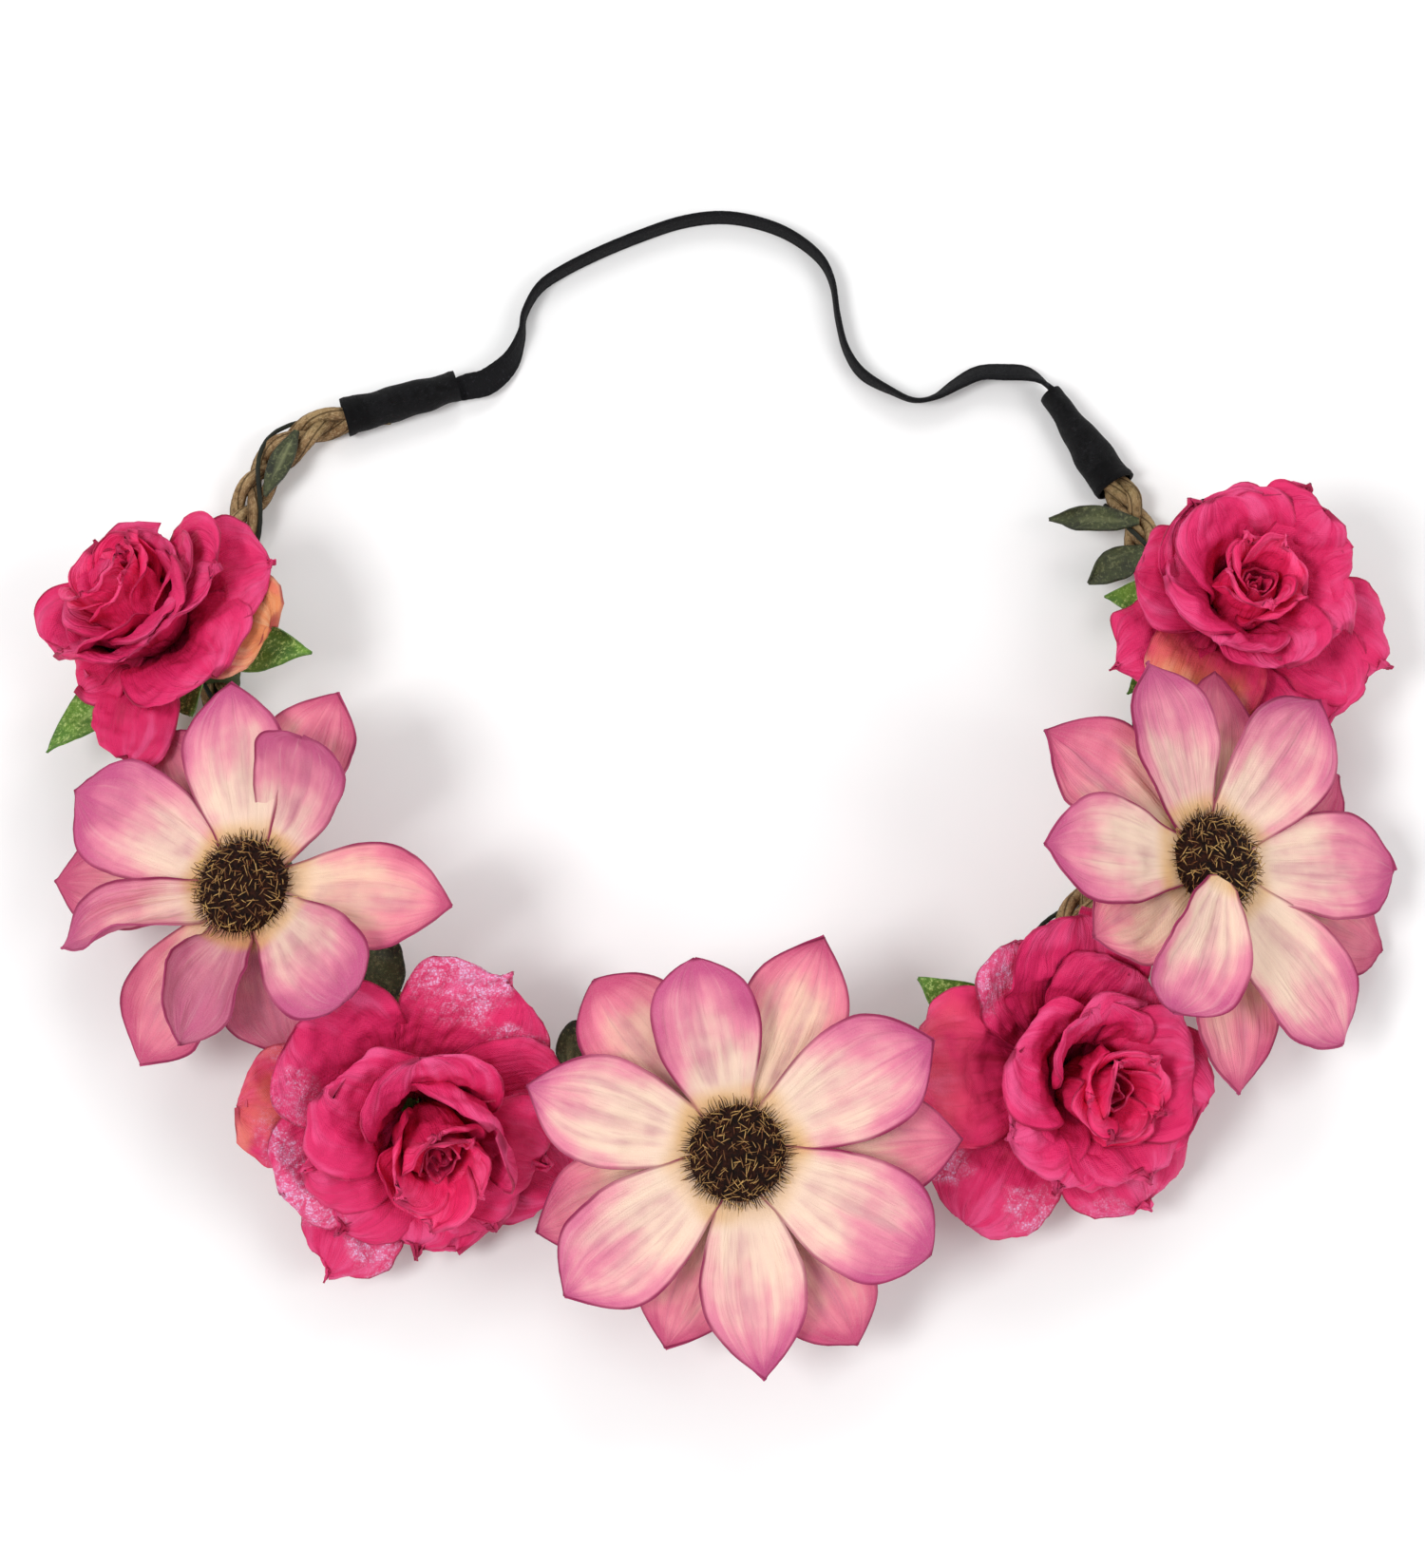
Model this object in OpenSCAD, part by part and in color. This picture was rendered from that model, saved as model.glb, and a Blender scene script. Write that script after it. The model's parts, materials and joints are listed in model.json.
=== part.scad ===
// Flower crown: three open daisies and four roses on wire stems, taped to a plaited twine hoop
// that a flat elastic closes at the back.
// Millimetres, +Z up. The origin is the centre of the hoop, on the surface that the crown lies on.
// The elastic is towards +Y and the flowers run round the -Y side from left (-X) to right (+X).

/* [Hoop] */
// Mean radius of the plaited hoop
hoop_r = 85; // [84:0.5:86]
// Height of the plait's centre line
plait_z = 4; // [4:0.1:5]
// Radius of one twine strand
strand_r = 1.25; // [1:0.05:1.3]
// Length of plait in which a strand swings over and back
plait_pitch = 27; // [22:0.5:32]

/* [Elastic] */
// Width of the flat elastic
elastic_w = 5; // [4:0.1:5]
// Thickness of the flat elastic
elastic_t = 0.9; // [0.7:0.1:1]

/* [Flowers] */
// Thickness of the stiffened petal fabric
fabric_t = 0.6; // [0.4:0.05:0.7]
// Radius of the hole that each whorl of petals is punched with
hole_r = 2; // [1.9:0.05:2.1]
// Radius of the peg that the whorls are pushed on
peg_r = 1.4; // [1.2:0.05:1.5]
// Radius of a daisy's seed disc
disc_r = 9; // [8:0.25:9]
// Height of a daisy's seed disc
disc_h = 5.5; // [5:0.25:6.5]
// Radius of the wire stems
stem_r = 1; // [0.8:0.05:1.1]

/* [Hidden] */
$fn = 48;
PLAIT_FROM = 142.5;
PLAIT_TO = 384;
SLEEVE_LEFT_AT = 146.5;
SLEEVE_RIGHT_AT = 381;
SLEEVE_LEN = 21.5;
SLEEVE_WALL = 0.45;

// Daisy whorls: [azimuth, length from the hub's rim, lift in degrees] of each petal
LEFT_DAISY_FRONT = [[46, 25, 22], [93, 27, 4], [148, 29, 4], [194, 27, 6], [260, 24, 20], [316, 24, 14]];
LEFT_DAISY_BACK = [[351, 28, 0], [67, 29, 0], [126, 28, 0], [171, 31, 0], [233, 28, 0], [280, 19, -20]];
CENTRE_DAISY_FRONT = [[32, 29, 2], [104, 26, 6], [162, 28, 2], [218, 29, 0], [277, 29, 0], [334, 28, 2]];
CENTRE_DAISY_BACK = [[3, 29, 0], [68, 31, 0], [130, 29, 0], [202, 28, 0], [250, 27, 0], [302, 30, 0]];
RIGHT_DAISY_FRONT = [[6, 31, 0], [56, 29, 2], [115, 27, 4], [184, 28, 2], [250, 25, 24], [311, 31, 0]];
RIGHT_DAISY_BACK = [[34, 30, 0], [84, 27, 0], [149, 29, 0], [214, 18, 0], [283, 31, 0], [345, 32, 0]];

// Outer rose whorls, and the leafy sepals under them
LEFT_ROSE_OUTER = [[45, 16, 4], [107, 17, 4], [175, 17, 0], [245, 17, 0], [297, 15, 0], [350, 18, 0]];
LEFT_ROSE_SEPALS = [[43, 18, 0], [130, 13, 0], [224, 22, 0], [290, 14, 0], [345, 25, 0]];
LOW_LEFT_ROSE_OUTER = [[56, 21, 4], [140, 21, 4], [187, 24, 0], [245, 24, 0], [290, 20, 0], [338, 25, 0]];
LOW_LEFT_ROSE_SEPALS = [[30, 16, 0], [104, 12, 0], [175, 16, 0], [250, 16, 0], [320, 16, 0]];
LOW_RIGHT_ROSE_OUTER = [[350, 21, 0], [72, 22, 4], [121, 18, 4], [178, 22, 0], [243, 27, 0], [305, 25, 0]];
LOW_RIGHT_ROSE_SEPALS = [[20, 16, 0], [80, 14, 0], [151, 21, 0], [225, 16, 0], [310, 16, 0]];
RIGHT_ROSE_OUTER = [[50, 16, 4], [120, 17, 4], [178, 18, 0], [228, 18, 0], [305, 20, 0], [350, 19, 0]];
RIGHT_ROSE_SEPALS = [[60, 14, 0], [120, 14, 0], [180, 18, 0], [222, 22, 0], [338, 22, 0]];

// Flowers: [name, hoop angle, hub point, tilt, tilted towards, whorls outside in]
DAISIES = [
    ["left_daisy", 213, [-77, -55.5, 30], 20, 185, LEFT_DAISY_BACK, LEFT_DAISY_FRONT],
    ["centre_daisy", 274, [7, -102, 30], 18, 270, CENTRE_DAISY_BACK, CENTRE_DAISY_FRONT],
    ["right_daisy", 333, [88, -51, 30], 32, 355, RIGHT_DAISY_BACK, RIGHT_DAISY_FRONT]
];
ROSES = [
    ["left_rose", 183.5, [-94.5, -4, 16], 20, 150, LEFT_ROSE_SEPALS, LEFT_ROSE_OUTER, 0.95],
    ["low_left_rose", 241, [-50.5, -89.5, 15], 24, 300, LOW_LEFT_ROSE_SEPALS, LOW_LEFT_ROSE_OUTER, 1.15],
    ["low_right_rose", 306, [61, -82.5, 15], 22, 320, LOW_RIGHT_ROSE_SEPALS, LOW_RIGHT_ROSE_OUTER, 1.12],
    ["right_rose", 361.5, [96, 2.5, 15], 8, 330, RIGHT_ROSE_SEPALS, RIGHT_ROSE_OUTER, 1]
];
FLOWERS = concat(DAISIES, ROSES);

// Leaves on the hoop's own garland wire: [name, base, heading, length, half width, climb]
LEAVES = [
    ["left_woven_leaf", [-73.6, 38.3, 7.6], 247, 13, 2.6, 0],
    ["low_left_leaf", [-55, -71, 7.6], 90, 14, 3.7, 12],
    ["low_middle_leaf", [-21.5, -83, 7.6], 88, 10, 3.2, 10],
    ["right_lance_leaf", [79.5, 22.5, 7.6], 180, 16.5, 2.6, 5],
    ["right_pointed_leaf", [80, 17.5, 7.7], 214, 12.5, 3, 4]
];

// Route of the elastic, left sleeve to right sleeve: [x, y, z, lean of its width from upright]
ELASTIC = [
    [-49, 47, 4, 0], [-45.5, 48, 4, 20], [-42, 49, 4, 50], [-38.5, 50.2, 3.6, 55], [-34.5, 54.2, 3.2, 30],
    [-32.5, 59.5, 2.8, 8], [-32, 64, 2.6, 0], [-29.5, 69, 2.6, 0], [-25.5, 72.3, 2.6, 0],
    [-18.5, 76.2, 2.6, 0], [-10.5, 79.8, 2.6, 0], [-3, 82.5, 2.6, 0], [4, 83.5, 2.6, 0], [10.5, 82.6, 2.6, 0],
    [17, 80, 2.6, 0], [22.5, 75.5, 2.6, 0], [25, 70.4, 2.6, 0], [26, 63.2, 2.6, 0], [27.5, 56.8, 2.6, 0],
    [30.5, 52, 2.6, 0], [36, 48.5, 2.7, -12], [40, 46.8, 2.7, -20], [44, 47.5, 2.8, -25],
    [48, 50, 3, -40], [52, 52, 3.2, -50], [56.5, 52, 3.6, -55], [60.5, 51.5, 4, -50],
    [64, 49.5, 4, -20], [67, 46, 4, 0], [69.5, 42.5, 4, 0]
];

DAISY_NODES = ["back_petals", "front_petals", "seed_disc", "calyx", "stem"];
ROSE_NODES = ["sepals", "outer_petals", "middle_petals", "inner_petals", "bud", "calyx", "stem"];

// --- hoop ---------------------------------------------------------------------------------

// Distance of the hoop from the origin at an angle: nearly round, with both ends bent inwards
function hoop_reach(a) =
    let (left = max(0, 160 - a), right = max(0, a - 376))
    hoop_r - 2.5 * sin(a) - 1.5 * cos(a) - 0.04 * (left * left + right * right);
function hoop_point(a) = [hoop_reach(a) * cos(a), hoop_reach(a) * sin(a), plait_z];
function outwards(a) = [cos(a), sin(a), 0];

TUBE_STEPS = 100;
TUBE_SIDES = 6;
PLAIT_SWING = 2.1;
PLAIT_RISE = 1.6;

// How far open the plait is: it closes up where it enters a sleeve
function plait_spread(a) = min(1, 0.72 + 0.04 * min(a - PLAIT_FROM, PLAIT_TO - a));

// Centre of one strand of the plait at a hoop angle
function strand_centre(a, third) =
    let (swing = 360 * (a * PI / 180 * hoop_r) / plait_pitch + 120 * third)
    hoop_point(a) + plait_spread(a) * (PLAIT_SWING * sin(swing) * outwards(a)
        + [0, 0, PLAIT_RISE * sin(2 * swing)]);

// Centre of the thin wire that winds loosely round the plait
WIRE_R = 0.4;
WIRE_WIND = 3.75;
WIRE_LIFT = 3.4;
WIRE_PITCH = 45;
function wire_centre(a) =
    let (turn = 360 * (a * PI / 180 * hoop_r) / WIRE_PITCH)
    hoop_point(a) + WIRE_WIND * cos(turn) * outwards(a) + [0, 0, WIRE_LIFT * sin(turn)];

// A tube whose rings stand across the hoop, from a list of [angle, centre]
module hoop_tube(rings, r) {
    last = len(rings) - 1;
    points = [for (ring = rings) for (k = [0:TUBE_SIDES - 1])
        let (t = 360 * k / TUBE_SIDES)
        ring[1] + r * (cos(t) * outwards(ring[0]) + [0, 0, sin(t)])];
    sides = [for (i = [0:last - 1]) for (k = [0:TUBE_SIDES - 1])
        let (m = (k + 1) % TUBE_SIDES, a = i * TUBE_SIDES, b = a + TUBE_SIDES)
        each [[a + k, b + m, b + k], [a + k, a + m, b + m]]];
    ends = [
        [for (k = [0:TUBE_SIDES - 1]) TUBE_SIDES - 1 - k],
        [for (k = [0:TUBE_SIDES - 1]) last * TUBE_SIDES + k]
    ];
    polyhedron(points, concat(sides, ends));
}

module twine_strand(third) {
    color("#a08050")
    hoop_tube([for (i = [0:TUBE_STEPS])
        let (a = PLAIT_FROM + (PLAIT_TO - PLAIT_FROM) * i / TUBE_STEPS)
        [a, strand_centre(a, third)]], strand_r);
}

WIRE_FROM = 150;
WIRE_TO = 379;
WIRE_STEPS = 90;
module garland_wire() {
    color("#2c3324")
    hoop_tube([for (i = [0:WIRE_STEPS])
        let (a = WIRE_FROM + (WIRE_TO - WIRE_FROM) * i / WIRE_STEPS)
        [a, wire_centre(a)]], WIRE_R);
}

// --- tapes and stems ----------------------------------------------------------------------

TAPE_R = 4;
TAPE_BORE_R = 3.45;
TAPE_W = 9;
BOSS_LEAN = 50;
BOSS_R = 2.9;
BOSS_TOP = 7.4;
POCKET_R = 1.9;
POCKET_FLOOR = 4;
BALL_R = 1.4;
BALL_AT = 5.7;

// Direction in which a stem leaves its tape: up and outwards
function stem_start(a) = sin(BOSS_LEAN) * outwards(a) + [0, 0, cos(BOSS_LEAN)];
// Centre of the stem's bend, which is its hinge
function stem_bend(a) = hoop_point(a) + BALL_AT * stem_start(a);

// One wrap of floral tape round the plait, with the raised pocket that a stem starts in
module stem_tape(a) {
    translate(hoop_point(a)) rotate([0, 0, a]) difference() {
        union() {
            rotate([90, 0, 0]) cylinder(r = TAPE_R, h = TAPE_W, center = true);
            rotate([0, BOSS_LEAN, 0]) cylinder(r = BOSS_R, h = BOSS_TOP);
        }
        rotate([90, 0, 0]) cylinder(r = TAPE_BORE_R, h = TAPE_W + 1, center = true);
        rotate([0, BOSS_LEAN, 0]) translate([0, 0, POCKET_FLOOR]) cylinder(r = POCKET_R, h = BOSS_TOP);
    }
}

module stem_tapes() {
    color("#4a5a30")
    for (flower = FLOWERS) stem_tape(flower[1]);
}

function unit(v) = v / norm(v);

// A round wire through a few points, its rings square to the bends. The direction "across" is one
// that no stretch of the wire runs along.
WIRE_SIDES = 10;
module bent_wire(path, r, across) {
    last = len(path) - 1;
    points = [for (i = [0:last])
        let (
            ahead = path[min(i + 1, last)] - path[min(i, last - 1)],
            behind = path[max(i, 1)] - path[max(i - 1, 0)],
            along = unit(unit(ahead) + unit(behind)),
            up = unit(cross(along, across)),
            side = cross(up, along)
        )
        for (k = [0:WIRE_SIDES - 1])
        let (t = 360 * k / WIRE_SIDES)
        path[i] + r * (cos(t) * side + sin(t) * up)];
    walls = [for (i = [0:last - 1]) for (k = [0:WIRE_SIDES - 1])
        let (m = (k + 1) % WIRE_SIDES, a = i * WIRE_SIDES, b = a + WIRE_SIDES)
        each [[a + k, b + k, b + m], [a + k, b + m, a + m]]];
    ends = [
        [for (k = [0:WIRE_SIDES - 1]) k],
        [for (k = [0:WIRE_SIDES - 1]) (last + 1) * WIRE_SIDES - 1 - k]
    ];
    polyhedron(points, concat(walls, ends));
}

ROSE_CALYX_H = 3.5;
DAISY_CALYX_H = 6;
STEM_LEAD = 3.4;
STEM_TOP = 2;

function lean_axis(flower) =
    sin(flower[3]) * outwards(flower[4]) + [0, 0, cos(flower[3])];

// Wire stem: a ball end in the tape's pocket, a straight lead, a bend and the run up to the calyx
module stem(flower, calyx_h) {
    bend = stem_bend(flower[1]);
    lead = bend + STEM_LEAD * stem_start(flower[1]);
    top = flower[2] - calyx_h * lean_axis(flower);
    turn = top - STEM_TOP * lean_axis(flower);
    color("#3d5a2a") {
        translate(bend) rotate([0, BOSS_LEAN, flower[1]]) sphere(r = BALL_R);
        bent_wire([bend, lead, turn, top], stem_r, outwards(flower[1] + 90));
    }
}

// --- elastic and sleeves ------------------------------------------------------------------

function spline(a, b, c, d, t) =
    0.5 * (2 * b + (c - a) * t + (2 * a - 5 * b + 4 * c - d) * t * t
        + (3 * b - a - 3 * c + d) * t * t * t);
function route_at(i, t) =
    let (n = len(ELASTIC) - 1)
    spline(ELASTIC[max(i - 1, 0)], ELASTIC[i], ELASTIC[min(i + 1, n)], ELASTIC[min(i + 2, n)], t);

// The elastic: a flat band on edge, its section a rectangle with bevelled corners
BAND_SECTION = [[0.5, 0.3], [0.4, 0.5], [-0.4, 0.5], [-0.5, 0.3], [-0.5, -0.3], [-0.4, -0.5], [0.4, -0.5],
    [0.5, -0.3]];
module elastic_band() {
    last = len(ELASTIC) - 1;
    path = concat([for (i = [0:last - 1]) for (t = [0, 0.5]) route_at(i, t)], [ELASTIC[last]]);
    n = len(path);
    sides = len(BAND_SECTION);
    points = [for (i = [0:n - 1])
        let (
            step = path[min(i + 1, n - 1)] - path[max(i - 1, 0)],
            heading = atan2(step.y, step.x),
            lean = path[i][3],
            wide = sin(lean) * outwards(heading + 90) + [0, 0, cos(lean)],
            thin = cos(lean) * outwards(heading + 90) - [0, 0, sin(lean)],
            at = [path[i].x, path[i].y, path[i].z]
        )
        for (s = BAND_SECTION) at + s.x * elastic_w * wide + s.y * elastic_t * thin];
    walls = [for (i = [0:n - 2]) for (k = [0:sides - 1])
        let (m = (k + 1) % sides, a = i * sides, b = a + sides)
        each [[a + k, b + m, b + k], [a + k, a + m, b + m]]];
    ends = [[for (k = [0:sides - 1]) sides - 1 - k], [for (k = [0:sides - 1]) (n - 1) * sides + k]];
    color("#1c1c1e")
    polyhedron(points, concat(walls, ends));
}

// Black fabric sleeve over the join of plait and elastic, wider at the plait
module sleeve(at, heading, plait_r, band_r) {
    color("#222222")
    translate(hoop_point(at)) rotate([0, 90, heading]) difference() {
        cylinder(r1 = plait_r, r2 = band_r, h = SLEEVE_LEN);
        translate([0, 0, -0.01])
        cylinder(r1 = plait_r - SLEEVE_WALL, r2 = band_r - SLEEVE_WALL, h = SLEEVE_LEN + 0.02);
    }
}

// --- petals -------------------------------------------------------------------------------

BLADE_ROWS = 5;
BLADE_COLS = 4;

function turned(p, a) = [p.x * cos(a) - p.y * sin(a), p.x * sin(a) + p.y * cos(a), p.z];

// Half width of a petal as a share of its widest, from its base (0) to its tip (1)
function petal_share(u, base, tip) =
    u < 0.6 ? base + (1 - base) * sin(150 * u) : 1 - (1 - tip) * pow((u - 0.6) / 0.4, 2);

// A point of a petal that starts at the hub's rim and bends from one climb angle to another.
// A wrapped petal follows the cup round the flower's axis and a plain one stays straight across.
function petal_point(petal, u, v, level, hub, half_w, base, tip, rise, wrapped, sag) =
    let (
        from = rise[0] + petal[2],
        to = rise[1] + petal[2],
        climb = from + (to - from) * u,
        bend = (to - from) * PI / 180,
        reach = hub + petal[1] * (sin(climb) - sin(from)) / bend,
        height = -petal[1] * (cos(climb) - cos(from)) / bend,
        side = v * half_w * petal_share(u, base, tip),
        across = wrapped ? side / reach * 180 / PI : 0,
        shift = wrapped ? 0 : side,
        drop = sag * v * v * sin(180 * u),
        tilt = u == 0 ? 0 : climb
    )
    turned([reach + level * fabric_t * sin(tilt), shift, height - drop - level * fabric_t * cos(tilt)],
        petal[0] + across);

function hub_point(petal, v, level, hub, half_w, base) =
    turned([hole_r, 0, -level * fabric_t], petal[0] + v * half_w * base / hub * 180 / PI);

// A whorl: petals cut in one piece with the small ring that joins them, its top face at z = 0
module whorl(petals, hub, half_w, base, tip, rise, wrapped = false, sag = 0) {
    rings = BLADE_ROWS + 2;
    count = len(petals);
    cols = BLADE_COLS + 1;
    points = [for (petal = petals) for (j = [0:BLADE_COLS]) for (i = [0:rings - 1]) for (k = [0, 1])
        let (v = 2 * j / BLADE_COLS - 1)
        i == 0 ? hub_point(petal, v, k, hub, half_w, base)
            : petal_point(petal, (i - 1) / BLADE_ROWS, v, k, hub, half_w, base, tip, rise, wrapped, sag)];
    function at(j, i, k) = ((j % (count * cols)) * rings + i) * 2 + k;
    function quad(a, b, c, d) = [[a, b, c], [a, c, d]];
    faces = [for (p = [0:count - 1]) for (q = [0:BLADE_COLS])
        let (
            j = p * cols + q,
            gap = q == BLADE_COLS,
            rows = gap ? 0 : BLADE_ROWS
        )
        each concat(
            [for (i = [0:rows]) each quad(at(j, i, 0), at(j + 1, i, 0), at(j + 1, i + 1, 0), at(j, i + 1, 0))],
            [for (i = [0:rows]) each quad(at(j, i + 1, 1), at(j + 1, i + 1, 1), at(j + 1, i, 1), at(j, i, 1))],
            quad(at(j + 1, 0, 0), at(j, 0, 0), at(j, 0, 1), at(j + 1, 0, 1)),
            quad(at(j, rows + 1, 0), at(j + 1, rows + 1, 0), at(j + 1, rows + 1, 1), at(j, rows + 1, 1)),
            [for (i = [1:1:gap ? BLADE_ROWS : 0])
                each quad(at(j, i + 1, 0), at(j, i, 0), at(j, i, 1), at(j, i + 1, 1))],
            [for (i = [1:1:q == 0 ? BLADE_ROWS : 0])
                each quad(at(j, i, 0), at(j, i + 1, 0), at(j, i + 1, 1), at(j, i, 1))]
        )];
    polyhedron(points, faces);
}

// Puts a flower's own frame in place: its hub point at the origin, +Z along its axis
module placed(flower) {
    translate(flower[2])
    rotate(a = flower[3], v = outwards(flower[4] + 90))
    children();
}

// --- daisies ------------------------------------------------------------------------------

DAISY_HUB = 9.2;
DAISY_HALF_W = 9.6;
DAISY_BACK_Z = 0.7;
DAISY_FRONT_Z = 1.9;

module daisy_back_petals(daisy) {
    color("#e8739a") placed(daisy) translate([0, 0, DAISY_BACK_Z])
    whorl(daisy[5], DAISY_HUB, DAISY_HALF_W, 0.3, 0.12, [2, -14], sag = 1.2);
}

module daisy_front_petals(daisy) {
    color("#eeb0b8") placed(daisy) translate([0, 0, DAISY_FRONT_Z])
    whorl(daisy[6], DAISY_HUB, DAISY_HALF_W, 0.3, 0.12, [12, -10], sag = 1.2);
}

// Seed disc: a low dome with the blind hole that the peg glues into
module daisy_seed_disc(daisy) {
    color("#3a1a10") placed(daisy) translate([0, 0, DAISY_FRONT_Z])
    rotate_extrude()
    polygon(concat(
        [for (t = [0:15:75]) [disc_r * cos(t), 0.6 + (disc_h - 0.6) * sin(t)]],
        [[0, disc_h], [0, 3], [peg_r + 0.1, 3], [peg_r + 0.1, 0], [disc_r, 0]]
    ));
}

module daisy_calyx(daisy) {
    color("#5d8a35") placed(daisy) {
        translate([0, 0, -DAISY_CALYX_H]) cylinder(r1 = 1.6, r2 = 6.5, h = DAISY_CALYX_H);
        cylinder(r = peg_r, h = DAISY_FRONT_Z + 2.6);
    }
}

// --- roses --------------------------------------------------------------------------------

SEPAL_Z = 0.7;
OUTER_Z = 1.5;
MIDDLE_Z = 2.4;
INNER_Z = 3.3;
BUD_Z = 3.7;
BUD_R = 5.2;
BUD_H = 17;
PEG_TOP = 6;

function even_petals(count, spin, length) = [for (i = [0:count - 1]) [spin + 360 / count * i, length, 0]];

module rose_sepals(rose) {
    color("#7fae3e") placed(rose) translate([0, 0, SEPAL_Z])
    whorl(rose[5], 4, 4.6, 0.3, 0.12, [-3, 5]);
}

module rose_outer_petals(rose) {
    color("#d2256c") placed(rose) translate([0, 0, OUTER_Z])
    whorl(rose[6], 4.5, 10.5 * rose[7], 0.18, 0.4, [10, 22], wrapped = true);
}

module rose_middle_petals(rose) {
    color("#dc2f76") placed(rose) translate([0, 0, MIDDLE_Z])
    whorl(even_petals(5, 20, 19 * rose[7]), 4, 8.8 * rose[7], 0.22, 0.5, [30, 76], wrapped = true);
}

module rose_inner_petals(rose) {
    color("#c81f60") placed(rose) translate([0, 0, INNER_Z])
    whorl(even_petals(4, 50, 18 * rose[7]), 3.6, 7 * rose[7], 0.28, 0.5, [48, 96], wrapped = true);
}

function bud_height(rose, t) = BUD_H * rose[7] * (1 - cos(t)) / 2;

// Bud: the rolled heart of the rose, with a flat foot and the blind hole for the peg
module rose_bud(rose) {
    bore = peg_r + 0.1;
    color("#b01450") placed(rose) translate([0, 0, BUD_Z])
    rotate_extrude()
    polygon(concat(
        [for (t = [24:12:168]) [BUD_R * rose[7] * pow(sin(t), 0.8), bud_height(rose, t)]],
        [[0, bud_height(rose, 168)], [0, 3], [bore, 3], [bore, bud_height(rose, 24)]]
    ));
}

module rose_calyx(rose) {
    color("#5d8a35") placed(rose) {
        translate([0, 0, -ROSE_CALYX_H]) cylinder(r1 = 1.8, r2 = 4.2, h = ROSE_CALYX_H);
        cylinder(r = peg_r, h = PEG_TOP);
    }
}

// --- leaves on the garland wire -----------------------------------------------------------

LEAF_ROWS = 8;
LEAF_COLS = 4;
LEAF_T = 0.5;

// One leaf: a pointed blade, folded a little along its midrib
module leaf(base, heading, length, half_w, climb) {
    fold = 0.25;
    points = [for (i = [0:LEAF_ROWS]) for (j = [0:LEAF_COLS]) for (k = [0, 1])
        let (
            u = i / LEAF_ROWS,
            v = 2 * j / LEAF_COLS - 1,
            w = v * half_w * max(0.1, sin(180 * pow(u, 0.85)))
        )
        [u * length, w, fold * abs(w) - k * LEAF_T]];
    function at(i, j, k) = (i * (LEAF_COLS + 1) + j) * 2 + k;
    function quad(a, b, c, d) = [[a, b, c], [a, c, d]];
    faces = concat(
        [for (i = [0:LEAF_ROWS - 1]) for (j = [0:LEAF_COLS - 1]) each concat(
            quad(at(i, j, 0), at(i, j + 1, 0), at(i + 1, j + 1, 0), at(i + 1, j, 0)),
            quad(at(i + 1, j, 1), at(i + 1, j + 1, 1), at(i, j + 1, 1), at(i, j, 1)))],
        [for (i = [0:LEAF_ROWS - 1]) each concat(
            quad(at(i + 1, LEAF_COLS, 0), at(i, LEAF_COLS, 0), at(i, LEAF_COLS, 1), at(i + 1, LEAF_COLS, 1)),
            quad(at(i, 0, 0), at(i + 1, 0, 0), at(i + 1, 0, 1), at(i, 0, 1)))],
        [for (j = [0:LEAF_COLS - 1]) each concat(
            quad(at(0, j + 1, 0), at(0, j, 0), at(0, j, 1), at(0, j + 1, 1)),
            quad(at(LEAF_ROWS, j, 0), at(LEAF_ROWS, j + 1, 0), at(LEAF_ROWS, j + 1, 1), at(LEAF_ROWS, j, 1)))]
    );
    color("#44502c")
    translate(base) rotate([0, -climb, heading])
    polyhedron(points, faces);
}

// --- what is drawn ------------------------------------------------------------------------

twine_strand(0);  // twine_strand_1
twine_strand(1);  // twine_strand_2
twine_strand(2);  // twine_strand_3
garland_wire();
stem_tapes();
sleeve(SLEEVE_LEFT_AT, 17, 3.6, 3);  // left_sleeve
sleeve(SLEEVE_RIGHT_AT, 122, 3.7, 3);  // right_sleeve
elastic_band();
for (l = LEAVES) {
    leaf(l[1], l[2], l[3], l[4], l[5]);
}
for (d = DAISIES) {
    daisy_back_petals(d);
    daisy_front_petals(d);
    daisy_seed_disc(d);
    daisy_calyx(d);
    stem(d, DAISY_CALYX_H);
}
for (r = ROSES) {
    rose_sepals(r);
    rose_outer_petals(r);
    rose_middle_petals(r);
    rose_inner_petals(r);
    rose_bud(r);
    rose_calyx(r);
    stem(r, ROSE_CALYX_H);
}
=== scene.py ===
"""Flower crown: the visual model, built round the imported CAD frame.

Shapes are laid out in millimetres and turned into metres where a mesh is made. Angles in tables are in
degrees.
"""
import json
import math

import bpy
import numpy as np
from mathutils import Matrix, Vector


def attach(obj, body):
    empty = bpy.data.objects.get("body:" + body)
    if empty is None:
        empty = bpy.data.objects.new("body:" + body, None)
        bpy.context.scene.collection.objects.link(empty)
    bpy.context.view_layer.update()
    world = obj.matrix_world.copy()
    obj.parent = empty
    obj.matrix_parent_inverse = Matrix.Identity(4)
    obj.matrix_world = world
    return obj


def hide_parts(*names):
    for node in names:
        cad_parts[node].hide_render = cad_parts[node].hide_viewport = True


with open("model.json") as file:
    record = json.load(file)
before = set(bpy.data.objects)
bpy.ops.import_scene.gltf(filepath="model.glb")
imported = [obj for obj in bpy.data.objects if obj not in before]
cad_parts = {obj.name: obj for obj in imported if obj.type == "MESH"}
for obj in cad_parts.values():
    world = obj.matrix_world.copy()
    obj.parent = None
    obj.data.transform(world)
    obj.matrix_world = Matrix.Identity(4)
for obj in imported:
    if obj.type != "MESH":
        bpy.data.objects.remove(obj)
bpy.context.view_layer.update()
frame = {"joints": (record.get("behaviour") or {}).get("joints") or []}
MM = 0.001
TURN = 2 * math.pi


# --- camera ---

CAMERA_ELEVATION = 72
CAMERA_DISTANCE = 0.9
CAMERA_TARGET = Vector((0.0028, -0.0317, 0.016))
CAMERA_LENS = 117


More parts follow.
